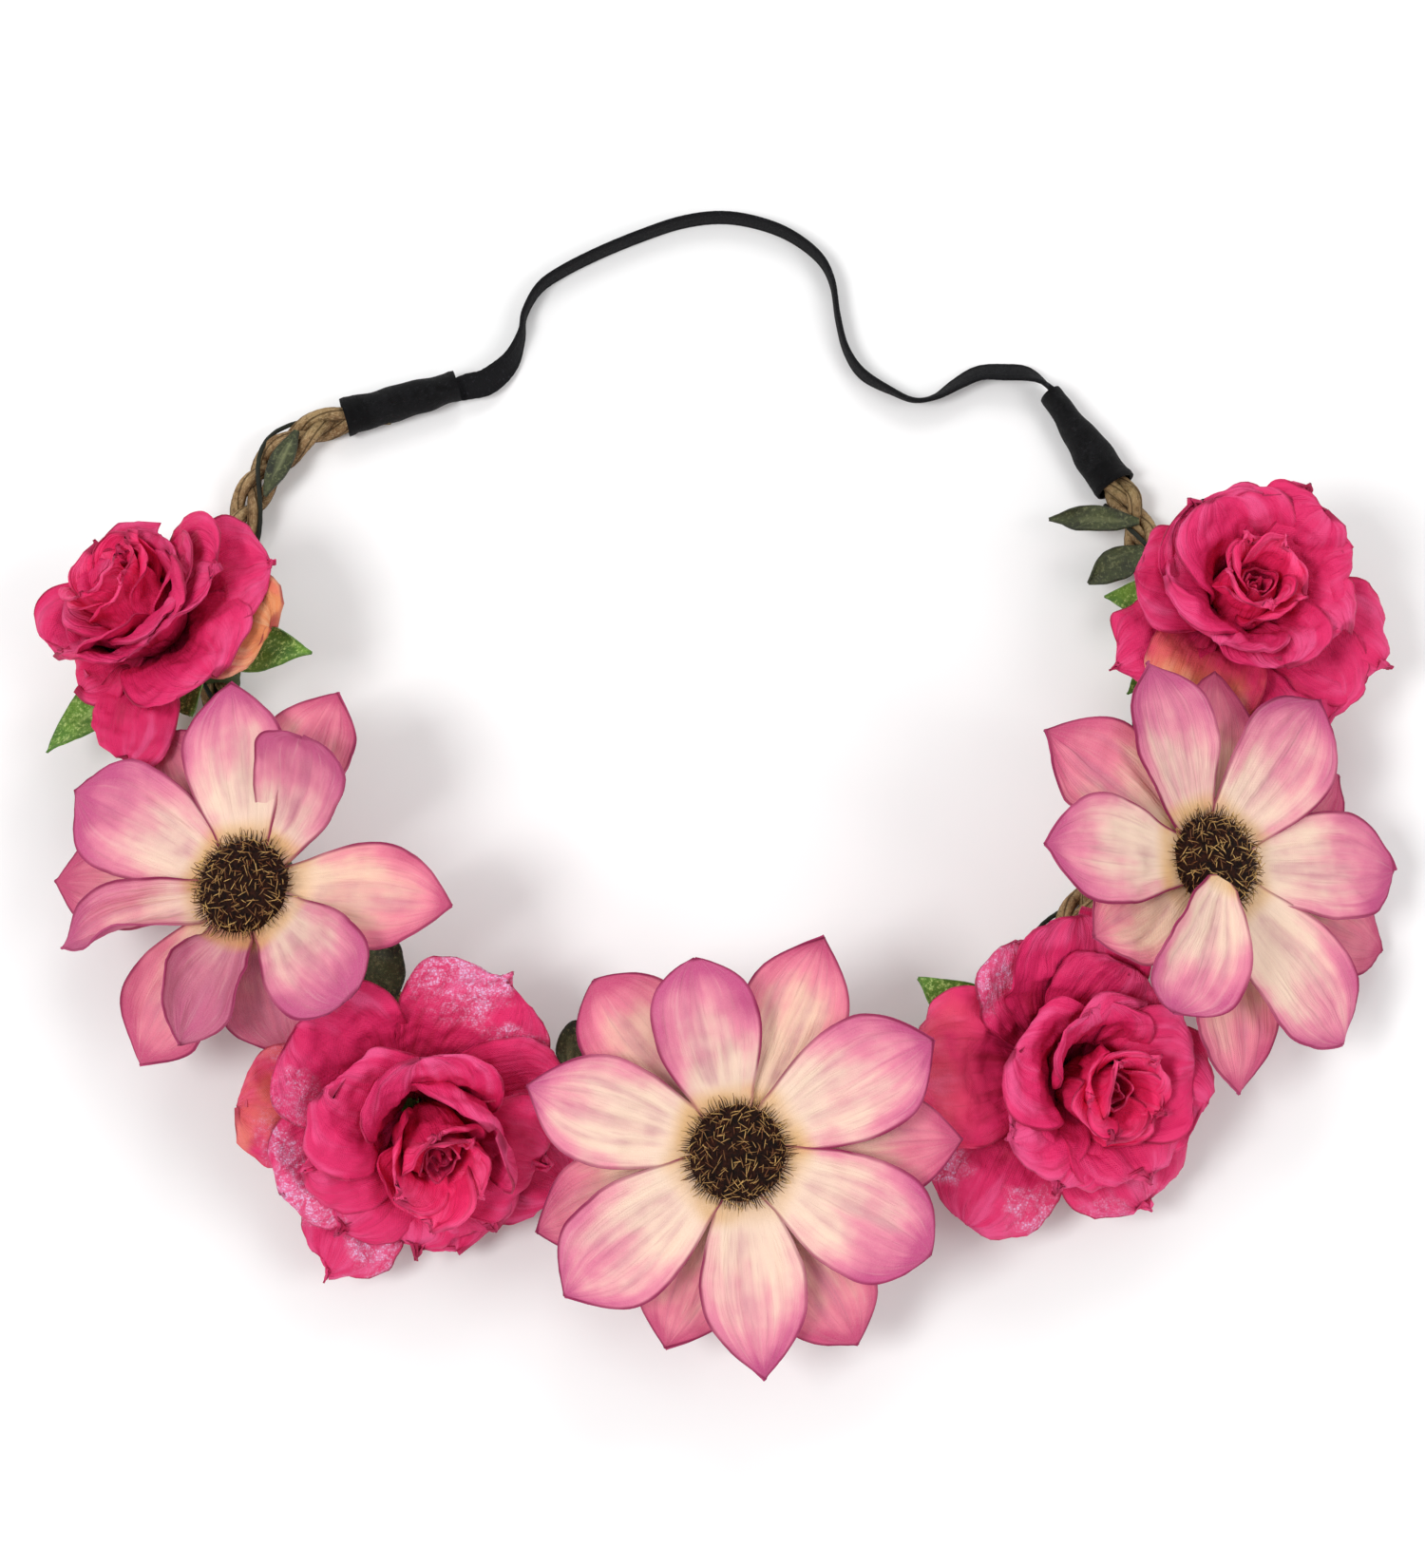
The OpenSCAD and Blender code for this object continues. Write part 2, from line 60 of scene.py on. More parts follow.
def add_object(name, data):
    made = bpy.data.objects.new(name, data)
    bpy.context.collection.objects.link(made)
    return made


def make_camera():
    data = bpy.data.cameras.new("camera")
    data.lens = CAMERA_LENS
    data.clip_start = 0.05
    camera = add_object("camera", data)
    lift = math.radians(CAMERA_ELEVATION)
    back = Vector((0, -math.cos(lift), math.sin(lift)))
    camera.location = CAMERA_TARGET + CAMERA_DISTANCE * back
    camera.rotation_euler = (-back).to_track_quat("-Z", "Y").to_euler()
    bpy.context.scene.camera = camera
    bpy.context.scene.view_settings.view_transform = "Standard"


# --- places and curves ---


def shifted(point):
    return Matrix.Translation(Vector(point))


def turned(degrees, axis="Z"):
    return Matrix.Rotation(math.radians(degrees), 4, axis)


def leaning(tilt, toward):
    """A lean away from upright, towards a direction in the plane."""
    side = math.radians(toward + 90)
    return turned(tilt, Vector((math.cos(side), math.sin(side), 0)))


def outwards(a):
    return np.stack([np.cos(a), np.sin(a), np.zeros_like(a)], axis=-1)


def smoothstep(low, high, x):
    t = np.clip((x - low) / (high - low), 0, 1)
    return t * t * (3 - 2 * t)


def smooth_values(knots, u):
    """A smooth curve through evenly spaced values, read at u from 0 to 1."""
    knots = np.asarray(knots, float)
    spot = np.clip(u, 0, 1) * (len(knots) - 1)
    i = np.minimum(spot.astype(int), len(knots) - 2)
    t = spot - i
    padded = np.concatenate([[2 * knots[0] - knots[1]], knots, [2 * knots[-1] - knots[-2]]])
    a, b, c, d = padded[i], padded[i + 1], padded[i + 2], padded[i + 3]
    return 0.5 * (2 * b + (c - a) * t + (2 * a - 5 * b + 4 * c - d) * t**2 + (3 * b - a - 3 * c + d) * t**3)


def smooth_route(points, steps):
    """A smooth curve through points, with so many steps to each stretch."""
    points = np.asarray(points, float)
    u = np.linspace(0, 1, (len(points) - 1) * steps + 1)
    return np.stack([smooth_values(column, u) for column in points.T], axis=1)


def around(sides):
    return np.linspace(0, TURN, sides, endpoint=False)


def flat_map(x, y):
    """Map coordinates in centimetres for every point of a grid."""
    return np.stack(np.broadcast_arrays(x, y), axis=-1).reshape(-1, 2)


def lengths_along(path):
    return np.concatenate([[0], np.cumsum(np.linalg.norm(np.diff(path, axis=0), axis=1))])


# --- mesh building ---


class Part:
    """Vertices in millimetres, faces, and per-vertex values, of one closed surface."""

    def __init__(self, verts, faces, values, slot=0):
        self.verts = verts.reshape(-1, 3)
        self.faces = faces
        self.values = values
        self.slot = slot

    def moved(self, matrix):
        turn = np.array(matrix.to_3x3())
        self.verts = self.verts @ turn.T + np.array(matrix.translation)
        return self


def build(name, parts, looks, sharp):
    """One Blender object from several parts. Every value becomes a float attribute, and "cloth" a UV map."""
    faces, slots, start = [], [], 0
    for part in parts:
        faces += [[start + i for i in face] for face in part.faces]
        slots += [part.slot] * len(part.faces)
        start += len(part.verts)
    mesh = bpy.data.meshes.new(name)
    mesh.from_pydata((np.concatenate([part.verts for part in parts]) * MM).tolist(), [], faces)
    mesh.polygons.foreach_set("material_index", slots)
    mesh.polygons.foreach_set("use_smooth", [True] * len(faces))
    for key in sorted({key for part in parts for key in part.values} - {"cloth"}):
        values = [part.values.get(key, np.zeros(len(part.verts))) for part in parts]
        layer = mesh.attributes.new(key, "FLOAT", "POINT")
        layer.data.foreach_set("value", np.concatenate(values).astype(np.float32))
    corner = np.empty(len(mesh.loops), np.int32)
    mesh.loops.foreach_get("vertex_index", corner)
    flat = np.concatenate([part.values["cloth"] for part in parts])
    mesh.uv_layers.new(name="cloth").data.foreach_set("uv", flat[corner].astype(np.float32).ravel())
    mesh.set_sharp_from_angle(angle=math.radians(sharp))
    for look in looks:
        mesh.materials.append(MATERIALS[look])
    mesh.update()
    return add_object(name, mesh)


def place(name, parts, body, node, slot, sharp=60, looks=()):
    """Build a piece, let it ride on a body and stand for a CAD node, and name its material slot."""
    piece = build(name, parts, looks or [slot], sharp)
    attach(piece, body)
    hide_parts(node)
    return piece


def grid_normals(grid):
    normal = np.cross(np.gradient(grid, axis=0), np.gradient(grid, axis=1))
    return normal / np.maximum(np.linalg.norm(normal, axis=2, keepdims=True), 1e-9)


def sheet_part(grid, thick, values):
    """A closed thin sheet from a grid of points; its top side is along x across."""
    rows, cols = grid.shape[:2]
    normal = grid_normals(grid)
    both = np.stack([grid + normal * thick / 2, grid - normal * thick / 2])
    count = rows * cols

    def rim(a, b):
        return [a, b, b + count, a + count]

    faces = []
    for a in range(0, count - cols, cols):
        b = a + cols
        for j in range(cols - 1):
            quad = [a + j, b + j, b + j + 1, a + j + 1]
            faces += [quad, [corner + count for corner in reversed(quad)]]
        faces += [rim(b, a), rim(a + cols - 1, b + cols - 1)]
    for j in range(cols - 1):
        last = count - cols + j
        faces += [rim(j, j + 1), rim(last + 1, last)]
    doubled = {"back": np.repeat([0.0, 1.0], count)}
    for key, value in values.items():
        flat = value if key == "cloth" else np.broadcast_to(value, (rows, cols)).ravel()
        doubled[key] = np.concatenate([flat, flat])
    return Part(both, faces, doubled)


def tube_part(rings, closed_ends, values, slot=0):
    """A tube from an array of rings (rings x sides x 3), with flat ends or joined end to start."""
    count, sides = rings.shape[:2]
    faces = []
    for i in range(count - 1 if closed_ends else count):
        for k in range(sides):
            a, b, m = i * sides, ((i + 1) % count) * sides, (k + 1) % sides
            faces.append([a + k, a + m, b + m, b + k])
    if closed_ends:
        faces.append(list(reversed(range(sides))))
        faces.append([(count - 1) * sides + k for k in range(sides)])
    return Part(rings, faces, values, slot)


def round_tube(path, radius, sides, up=(0, 0, 1), wobble=None, slot=0, **values):
    """A round wire or strand along a path. wobble(s, t) scales its radius."""
    tangent = np.gradient(path, axis=0)
    tangent /= np.linalg.norm(tangent, axis=1, keepdims=True)
    side = np.cross(up, tangent)
    side /= np.linalg.norm(side, axis=1, keepdims=True)
    high = np.cross(tangent, side)
    s, t = lengths_along(path)[:, None], around(sides)
    size = np.broadcast_to(radius, len(path))[:, None] * (wobble(s, t) if wobble else np.ones_like(t))
    ring = np.cos(t)[:, None] * side[:, None, :] + np.sin(t)[:, None] * high[:, None, :]
    flat = {key: np.broadcast_to(value, (len(path), sides)).ravel() for key, value in values.items()}
    flat["cloth"] = flat_map(s / 10, t / TURN)
    return tube_part(path[:, None, :] + size[..., None] * ring, True, flat, slot)


def lathe(profile, sides, bumps):
    """A closed ring of revolution round +Z from a closed (radius, height) outline.

    bumps(t, i) scales the radius of its point i at turn t.
    """
    profile = np.asarray(profile, float)
    turn = around(sides)
    spots = np.arange(len(profile))
    rises = profile[:, 1:] * [0, 0, 1]
    rings = [(profile[:, :1] * bumps(t, spots)[:, None]) * outwards(t) + rises for t in turn]
    cloth = flat_map(turn[:, None] * 0.5, lengths_along(profile) / 10)
    return tube_part(np.array(rings)[::-1], False, {"cloth": cloth[::-1]})


# --- materials ---


def linear(code):
    """An sRGB hex colour as linear RGBA."""
    parts = [int(code[i : i + 2], 16) / 255 for i in (1, 3, 5)]
    return [c / 12.92 if c <= 0.04045 else ((c + 0.055) / 1.055) ** 2.4 for c in parts] + [1]


def math_node(operation):
    return lambda left, right: left.look.math(operation, left, right)


class Signal:
    """The output of a shader node. Arithmetic on it adds math nodes."""

    __add__, __sub__, __mul__ = math_node("ADD"), math_node("SUBTRACT"), math_node("MULTIPLY")

    def __init__(self, look, socket):
        self.look = look
        self.socket = socket

    def between(self, low, high, out_low=0.0, out_high=1.0):
        """How far the value is from low to high, smoothed, as a number from out_low to out_high."""
        inputs = {"Value": self, "From Min": low, "From Max": high, "To Min": out_low, "To Max": out_high}
        return self.look.signal("Result", "ShaderNodeMapRange", inputs, interpolation_type="SMOOTHSTEP")


class Look:
    def __init__(self, name):
        self.material = bpy.data.materials.new(name)
        self.material.use_nodes = True
        self.tree = self.material.node_tree
        self.spot = self.signal("Object", "ShaderNodeTexCoord")

    def set(self, socket, value):
        if isinstance(value, Signal):
            self.tree.links.new(value.socket, socket)
        else:
            socket.default_value = linear(value) if isinstance(value, str) else value

    def add(self, kind, inputs=(), **settings):
        node = self.tree.nodes.new(kind)
        for key, value in settings.items():
            setattr(node, key, value)
        for key, value in dict(inputs).items():
            self.set(node.inputs[key], value)
        return node

    def signal(self, output, kind, inputs=(), **settings):
        return Signal(self, self.add(kind, inputs, **settings).outputs[output])

    def math(self, operation, *values):
        node = self.add("ShaderNodeMath", operation=operation)
        for socket, value in zip(node.inputs, values):
            self.set(socket, value)
        return Signal(self, node.outputs[0])

    def value(self, name):
        return self.signal("Fac", "ShaderNodeAttribute", attribute_name=name)

    def cloth(self, scale=None):
        """The map of the cloth, in centimetres, stretched by a scale."""
        flat = self.signal("UV", "ShaderNodeUVMap", uv_map="cloth")
        return self.stretched(flat, scale) if scale else flat

    def cloth_axes(self):
        outputs = self.add("ShaderNodeSeparateXYZ", {"Vector": self.cloth()}).outputs
        return Signal(self, outputs[0]), Signal(self, outputs[1])

    def stretched(self, vector, scale):
        return self.signal("Vector", "ShaderNodeMapping", {"Vector": vector, "Scale": scale})

    def noise(self, scale, detail=3.0, rough=0.5, twist=0.0, at=None):
        inputs = {"Scale": scale, "Detail": detail, "Roughness": rough, "Distortion": twist}
        return self.signal("Fac", "ShaderNodeTexNoise", {"Vector": at or self.spot, **inputs})

    def rays(self, across, along):
        """Streaks that run up a petal and spread with it, different on every petal."""
        x, y, z = self.value("across") * across, self.value("along"), self.value("tone") * 37.0
        spread = {"X": x, "Y": y, "Z": z}
        vector = self.signal("Vector", "ShaderNodeCombineXYZ", spread)
        return self.noise(1.0, 3, 0.6, 0.4, self.stretched(vector, (1, along, 1)))

    def cells(self, scale):
        return self.signal("Distance", "ShaderNodeTexVoronoi", {"Vector": self.spot, "Scale": scale})

    def weave(self, pitch_mm):
        """Height of a plain weave."""
        one, two = (self.math("SINE", axis * (TURN * 10 / pitch_mm)) for axis in self.cloth_axes())
        return one * two * 0.4

    def mix(self, amount, a, b):
        inputs = {"Factor": amount, "A": a, "B": b}
        return self.signal("Result", "ShaderNodeMix", inputs, data_type="RGBA")

    def coat(self, low, high, amount):
        """Start with two colours, and how far the second one covers the first."""
        self.color = self.mix(amount, low, high)

    def paint(self, color, amount):
        """Lay a colour over what is painted already, as far as the amount says."""
        self.color = self.mix(amount, self.color, color)

    def finish(self, roughness, specular, height=None, strength=0.0, depth_mm=0.0, sheen=0.0):
        """Join the colour, the roughness and a bump of some height to the shader."""
        inputs = self.tree.nodes["Principled BSDF"].inputs
        self.set(inputs["Base Color"], self.color)
        self.set(inputs["Roughness"], roughness)
        if height:
            bump = {"Height": height, "Strength": strength, "Distance": depth_mm * MM}
            self.set(inputs["Normal"], self.signal("Normal", "ShaderNodeBump", bump))
        inputs["Specular IOR Level"].default_value = specular
        inputs["Sheen Weight"].default_value = sheen
        return self.material


def daisy_material(name, pink, deep, cream, reach):
    """Dip-dyed petal cloth: cream heart, pink tip, a thin dark edge, mauve painted shade in the pressed vein
    grooves, and dusky mauve that is partly the petals' own colour and partly painted shade on petals turned
    into shadow.
    """
    n = Look(name)
    along, edge, tone = n.value("along"), n.value("edge"), n.value("tone")
    blotch, streak, fine = n.noise(95), n.rays(4.5, 1.6), n.rays(11.0, 2.0)
    dye = along + (blotch - 0.5) + (streak - 0.5) * 0.5 + (tone - 0.5) * 0.3 + edge.between(5.0, 0.2) * 0.3
    n.coat(cream, pink, dye.between(reach, reach + 0.62))
    n.paint(deep, dye.between(0.64, 1.22))
    # Dusky mauve by tone: the petals' own colour, and painted shade on petals with a tone above 1, which turn
    # into shadow.
    n.paint("#bd6c82", tone.between(0.6, 2.0, 0.0, 0.8) * streak.between(0.25, 0.7, 0.45, 1.0))
    # Fine lines near the base, darker where the bump presses them in: mauve painted shade in those grooves.
    n.paint("#bf7484", fine.between(0.56, 0.7) * along.between(0.05, 0.35) * 0.3)
    # Painted highlight: lighter where the same fine lines stand up in the bump.
    n.paint("#f8e4d2", fine.between(0.42, 0.3) * 0.1)
    # Mauve painted shade in the pressed vein grooves.
    n.paint("#b86484", n.value("vein").between(0.1, 0.8) * n.noise(200, 2).between(0.3, 0.7, 0.4, 1.0) * 0.52)
    n.paint("#dba54e", along.between(0.14, 0.02) * blotch.between(0.3, 0.65, 0.4, 1.0) * 0.65)
    n.paint("#fbe6dc", n.noise(4, 2, at=n.cloth((30, 8, 1))).between(0.35, 0.75, 0.0, 0.1))
    n.paint("#8e2a50", edge.between(0.75, 0.15) * n.noise(90, 2).between(0.3, 0.62, 0.55, 1.0))
    n.paint("#b8487c", n.value("back") * 0.35)
    height = n.weave(0.36) + n.noise(900) - fine * 9.0
    return n.finish(blotch.between(0.3, 0.7, 0.66, 0.84), 0.15, height, 0.5, 0.14)


def rose_material(name, base, light, dark):
    """Satin petal cloth: painted shade down in the folds at each petal's foot, and a lighter, cooler painted
    highlight towards the rolled rim.
    """
    n = Look(name)
    edge, blush = n.value("edge"), n.value("blush")
    blotch, streak, fine = n.noise(110), n.rays(3.5, 1.4), n.rays(10.0, 2.4)
    # Painted shade towards each petal's foot, deep in the flower, and a painted highlight at its rim;
    # blotches and streaks vary it.
    lift = n.value("along") + (blotch - 0.5) * 0.8 + (streak - 0.5) * 1.3
    n.coat(dark, base, lift.between(-0.05, 0.65))
    n.paint(light, lift.between(0.7, 1.2) * 0.75)
    # Dark painted shade in the fine creases that the bump presses in.
    n.paint(dark, fine.between(0.58, 0.72) * 0.35)
    n.paint("#e08a5a", blush * blotch.between(0.28, 0.6))
    n.paint("#f0c59a", blush.between(0.55, 1.0) * streak.between(0.4, 0.7) * 0.7)
    # Pearly glitter patches: partly the coating's own lilac-white, partly painted glints from fine cells.
    patch, glint = n.noise(75, 2).between(0.5, 0.6), n.cells(2400).between(0.6, 0.2)
    swirl = n.noise(420, 4, 0.7, 1.5).between(0.4, 0.62, 0.15, 1.0)
    pearl = n.value("pearl") * patch * (swirl * (glint + 0.45))
    n.paint("#e6b4da", pearl * 0.9)
    n.paint("#8c0f34", edge.between(0.55, 0.1) * n.noise(150, 2).between(0.35, 0.6, 0.1, 0.8))
    crumple = n.noise(170, 4, 0.6, 1.0)
    height = n.weave(0.4) + n.noise(700) * 1.2 + (crumple * 8.0 - fine * 9.0)
    return n.finish(blotch.between(0.3, 0.7, 0.5, 0.66) - pearl * 0.2, 0.22, height, 0.55, 0.16)


def leaf_material(name, base, light, dark, speckle):
    """Waxed leaf cloth: light veins, a dark edge and a grainy print."""
    n = Look(name)
    blotch, grain = n.noise(180), n.noise(1400, 3, 0.75)
    n.coat(dark, base, blotch.between(0.3, 0.7))
    n.paint(light, grain.between(0.5, 0.66) * speckle)
    n.paint(dark, grain.between(0.46, 0.34) * (speckle * 0.7))
    # On leaves the same groove mask gives light veins, the leaf's own print.
    n.paint(light, n.value("vein").between(0.3, 0.95) * 0.6)
    n.paint(dark, n.value("edge").between(0.5, 0.1) * 0.5)
    height = grain * 0.8 + n.weave(0.42)
    return n.finish(blotch.between(0.3, 0.7, 0.48, 0.66), 0.35, height, 0.45, 0.15, sheen=0.08)


def twine_material(name):
    """Coarse plant twine: plies that wind round each strand, with painted shade in the grooves between them,
    and mottled tan fibres that are partly their own colour and partly a painted highlight where they stand
    up.
    """
    n = Look(name)
    along, around = n.cloth_axes()
    ply = n.math("ABSOLUTE", n.math("SINE", (along * 5.5 + around * (4 * TURN)) * 0.5))
    fibre = n.noise(3.2, 4, 0.65, 0.6, n.cloth((5, 12, 1)))
    fine = n.noise(1100, 4, 0.75)
    n.coat("#7c5f40", "#a98c64", n.noise(170).between(0.35, 0.65))
    # Tan fibres, lighter where they stand up in the bump: partly their own colour, partly painted highlight.
    n.paint("#d8bf94", fibre.between(0.48, 0.7, 0.0, 0.75))
    n.paint("#4a3420", fine.between(0.5, 0.36, 0.0, 0.55))
    n.paint("#6d6a3e", n.noise(75, 2).between(0.56, 0.72, 0.0, 0.4))
    # Painted shade in the grooves between the plies.
    n.paint("#33230f", ply.between(0.42, 0.05, 0.0, 0.75))
    height = ply * 1.6 + (fibre + fine * 0.7)
    return n.finish(fine.between(0.3, 0.7, 0.7, 0.92), 0.15, height, 0.8, 0.3)


def tape_material(name, base, light, dark):
    """Crinkled floral tape or paper-covered wire, with a painted highlight on its raised crinkles."""
    n = Look(name)
    crinkle = n.noise(4, 4, 0.7, 0.3, n.cloth((3.5, 14, 1)))
    blotch = n.noise(260, 2)
    n.coat(dark, base, blotch.between(0.3, 0.7))
    # Painted highlight: lighter on the raised crinkles, which are also the bump.
    n.paint(light, crinkle.between(0.5, 0.75, 0.0, 0.6))
    return n.finish(blotch.between(0.3, 0.7, 0.55, 0.75), 0.3, crinkle, 0.7, 0.2)


def elastic_material(name):
    """Woven elastic: ribs along its length crossed by a fine pick."""
    n = Look(name)
    along, across = n.cloth_axes()
    pick, rib = n.math("SINE", along * (TURN * 10 / 0.7)), n.math("SINE", across * (TURN * 22))
    weave = pick * rib + rib * 0.6
    fuzz = n.noise(1500, 3, 0.7)
    # Painted shade between the threads and painted highlight on their raised crowns, from the same weave as
    # the bump.
    n.coat("#070708", "#202023", weave.between(-1.0, 1.4))
    n.paint("#3c3c42", fuzz.between(0.56, 0.72, 0.0, 0.5))
    return n.finish(fuzz.between(0.3, 0.7, 0.62, 0.85), 0.12, weave + fuzz, 0.6, 0.1)


def sleeve_material(name):
    n = Look(name)
    wrap = n.noise(3.0, 4, 0.6, 0.6, n.cloth((1.4, 2.2, 1)))
    fine = n.noise(1300, 3, 0.7)
    # Painted highlight on the raised wraps of the cloth, from the same pattern as the bump.
    n.coat("#080809", "#19191b", wrap.between(0.35, 0.7))
    n.paint("#333336", fine.between(0.55, 0.7, 0.0, 0.35))
    height = wrap * 2.0 + (fine + n.weave(0.5))
    return n.finish(wrap.between(0.3, 0.7, 0.5, 0.78), 0.12, height, 0.8, 0.25)


def disc_material(name):
    n = Look(name)
    grain = n.noise(900, 4, 0.75)
    n.coat("#0d0402", "#341408", grain.between(0.35, 0.7))
    return n.finish(0.85, 0.2, grain, 0.9, 0.4)


def bristle_material(name):
    n = Look(name)
    grain = n.noise(2600, 2)
    n.coat("#1c0804", n.mix(n.value("tone"), "#6a3a1c", "#e2b86f"), n.value("along").between(0.25, 0.85))
    n.paint("#5a2c14", grain.between(0.4, 0.7, 0.0, 0.4))
    return n.finish(0.6, 0.3, grain, 0.4, 0.05)


def floor_material():
    n = Look("floor")
    n.coat((0.9, 0.9, 0.9, 1), (0.93, 0.93, 0.93, 1), n.noise(14, 2).between(0.3, 0.7))
    return n.finish(0.9, 0.5)


LOOKS = {
    "daisy_front": (daisy_material, "#e6869f", "#c24a80", "#f2d4be", 0.22),
    "daisy_back": (daisy_material, "#ea8298", "#c84a76", "#f3d0b4", 0.16),
    "rose_outer": (rose_material, "#dc2966", "#ea5a90", "#9a0d2e"),
    # A brighter, redder copy of the rose cloth for the heart: painted glow, standing in for light shining
    # through and between the inner petals.
    "rose_inner": (rose_material, "#ee2c6a", "#f75a90", "#a60b2a"),
    "sepal": (leaf_material, "#6d9a36", "#b4d279", "#3f6a1e", 0.9),
    "dark_leaf": (leaf_material, "#434a2a", "#84895f", "#1d2115", 0.45),
    "twine": (twine_material,),
    "dark_wire": (tape_material, "#23281c", "#444a34", "#10130c"),
    "floral_tape": (tape_material, "#47552c", "#75834c", "#28331a"),
    "stem": (tape_material, "#3d5a28", "#6b8a44", "#223a16"),
    "calyx": (tape_material, "#55802f", "#86ad52", "#30511c"),
    "elastic": (elastic_material,),
    "sleeve": (sleeve_material,),
    "disc_core": (disc_material,),
    "bristle": (bristle_material,),
}
MATERIALS = {name: write(name, *settings) for name, (write, *settings) in LOOKS.items()}


# --- hoop ---

HOOP_R = 85
PLAIT_Z = 4
PLAIT_FROM, PLAIT_TO, PLAIT_PITCH = 142.5, 384, 27
PLAIT_SWING, PLAIT_RISE = 2.1, 1.6
STRAND_R = 1.28
WIRE_FROM, WIRE_TO, WIRE_PITCH = 150, 379, 45
WIRE_OUT, WIRE_UP, WIRE_R = 3.75, 3.4, 0.42
TAPE_BORE_R, TAPE_R, TAPE_W = 3.45, 4.0, 9
BOSS_LEAN = math.radians(50)


def hoop_point(degrees):
    """The same nearly round hoop as the CAD's, with both ends bent inwards."""
    degrees = np.asarray(degrees, float)
    a = np.radians(degrees)
    left, right = np.maximum(0, 160 - degrees), np.maximum(0, degrees - 376)
    reach = HOOP_R - 2.5 * np.sin(a) - 1.5 * np.cos(a) - 0.04 * (left**2 + right**2)
    return reach[..., None] * outwards(a) + np.array([0, 0, PLAIT_Z])


def make_plait():
    degrees = np.linspace(PLAIT_FROM, PLAIT_TO, 1100)
    out = outwards(np.radians(degrees))
    spread = np.minimum(1, 0.72 + 0.04 * np.minimum(degrees - PLAIT_FROM, PLAIT_TO - degrees))
    rng = np.random.default_rng(5)
    for third in range(3):
        swing = TURN * (np.radians(degrees) * HOOP_R / PLAIT_PITCH + third / 3)
        path = hoop_point(degrees) + spread[:, None] * PLAIT_SWING * np.sin(swing)[:, None] * out
        path[:, 2] += spread * PLAIT_RISE * np.sin(2 * swing)
        phases = rng.uniform(0, 6.28, 6)

        def wobble(s, t):
            ply = 0.055 * np.abs(np.sin(1.0 * t + s * 0.55 + phases[0]))
            lumps = 0.045 * np.sin(s * 0.9 + phases[1]) * np.sin(s * 0.37 + phases[2])
            bark = 0.03 * np.sin(3 * t + s * 1.7 + phases[3]) * np.sin(s * 2.9 + phases[4])
            return 0.97 + ply + lumps + bark

        strand = round_tube(path, STRAND_R, 16, wobble=wobble)
        place(f"plait_strand_{third + 1}", [strand], "root", f"twine_strand_{third + 1}", "twine", 80)


def make_wire():
    degrees = np.linspace(WIRE_FROM, WIRE_TO, 700)
    turn = TURN * np.radians(degrees) * HOOP_R / WIRE_PITCH
    path = hoop_point(degrees) + WIRE_OUT * np.cos(turn)[:, None] * outwards(np.radians(degrees))
    path[:, 2] += WIRE_UP * np.sin(turn)
    wire = round_tube(path, WIRE_R, 10, wobble=lambda s, t: 1 + 0.06 * np.sin(9 * s + t))
    place("dark_garland_wire", [wire], "root", "garland_wire", "dark_wire", 80)


# Outline of the collar that a stem leaves its tape through: radius, height
COLLAR = [
    (2.9, 3.3), (2.85, 4.4), (2.7, 5.6), (2.55, 6.6), (2.3, 7.3), (2.05, 7.35), (1.9, 7.0),
    (1.9, 5.6), (1.9, 4.2), (1.5, 3.9), (0.4, 3.85), (0.35, 3.4), (1.6, 3.3),
]


def make_tapes():
    """A wound tape with a leaning collar at the foot of each flower's stem."""
    parts = []
    rng = np.random.default_rng(11)
    stops = np.linspace(-TAPE_W / 2, TAPE_W / 2, 15)
    outer = [(TAPE_R - 0.12 + 0.16 * ((s / 3.0) % 1) - 0.35 * smoothstep(3.6, 4.5, abs(s)), s) for s in stops]
    inner = [(TAPE_BORE_R - 0.05, s) for s in (TAPE_W / 2, 0.0, -TAPE_W / 2)]
    for joint in frame["joints"]:
        # Counted on past 360 degrees, as the plait's own angles are
        angle = (math.degrees(math.atan2(joint["pos_m"][1], joint["pos_m"][0])) - 120) % 360 + 120
        shifts = rng.uniform(0, 6.28, 3)

        def lumpy(t, i):
            lump = 0.025 * np.sin(3 * t + i * 0.8 + shifts[0]) + 0.015 * np.sin(7 * t - i + shifts[1])
            return 1 + np.where(i < len(outer), lump, 0)

        def twisted(t, i):
            return 1 + np.where(i < 6, 0.03 * np.sin(5 * t + i * 1.3 + shifts[2]), 0)

        here = shifted(hoop_point(angle)) @ turned(angle)
        parts.append(lathe(outer + inner, 40, lumpy).moved(here @ turned(90, "X")))
        parts.append(lathe(COLLAR, 28, twisted).moved(here @ Matrix.Rotation(BOSS_LEAN, 4, "Y")))
    place("tape_wraps", parts, "root", "stem_tapes", "floral_tape")


# --- elastic and sleeves ---

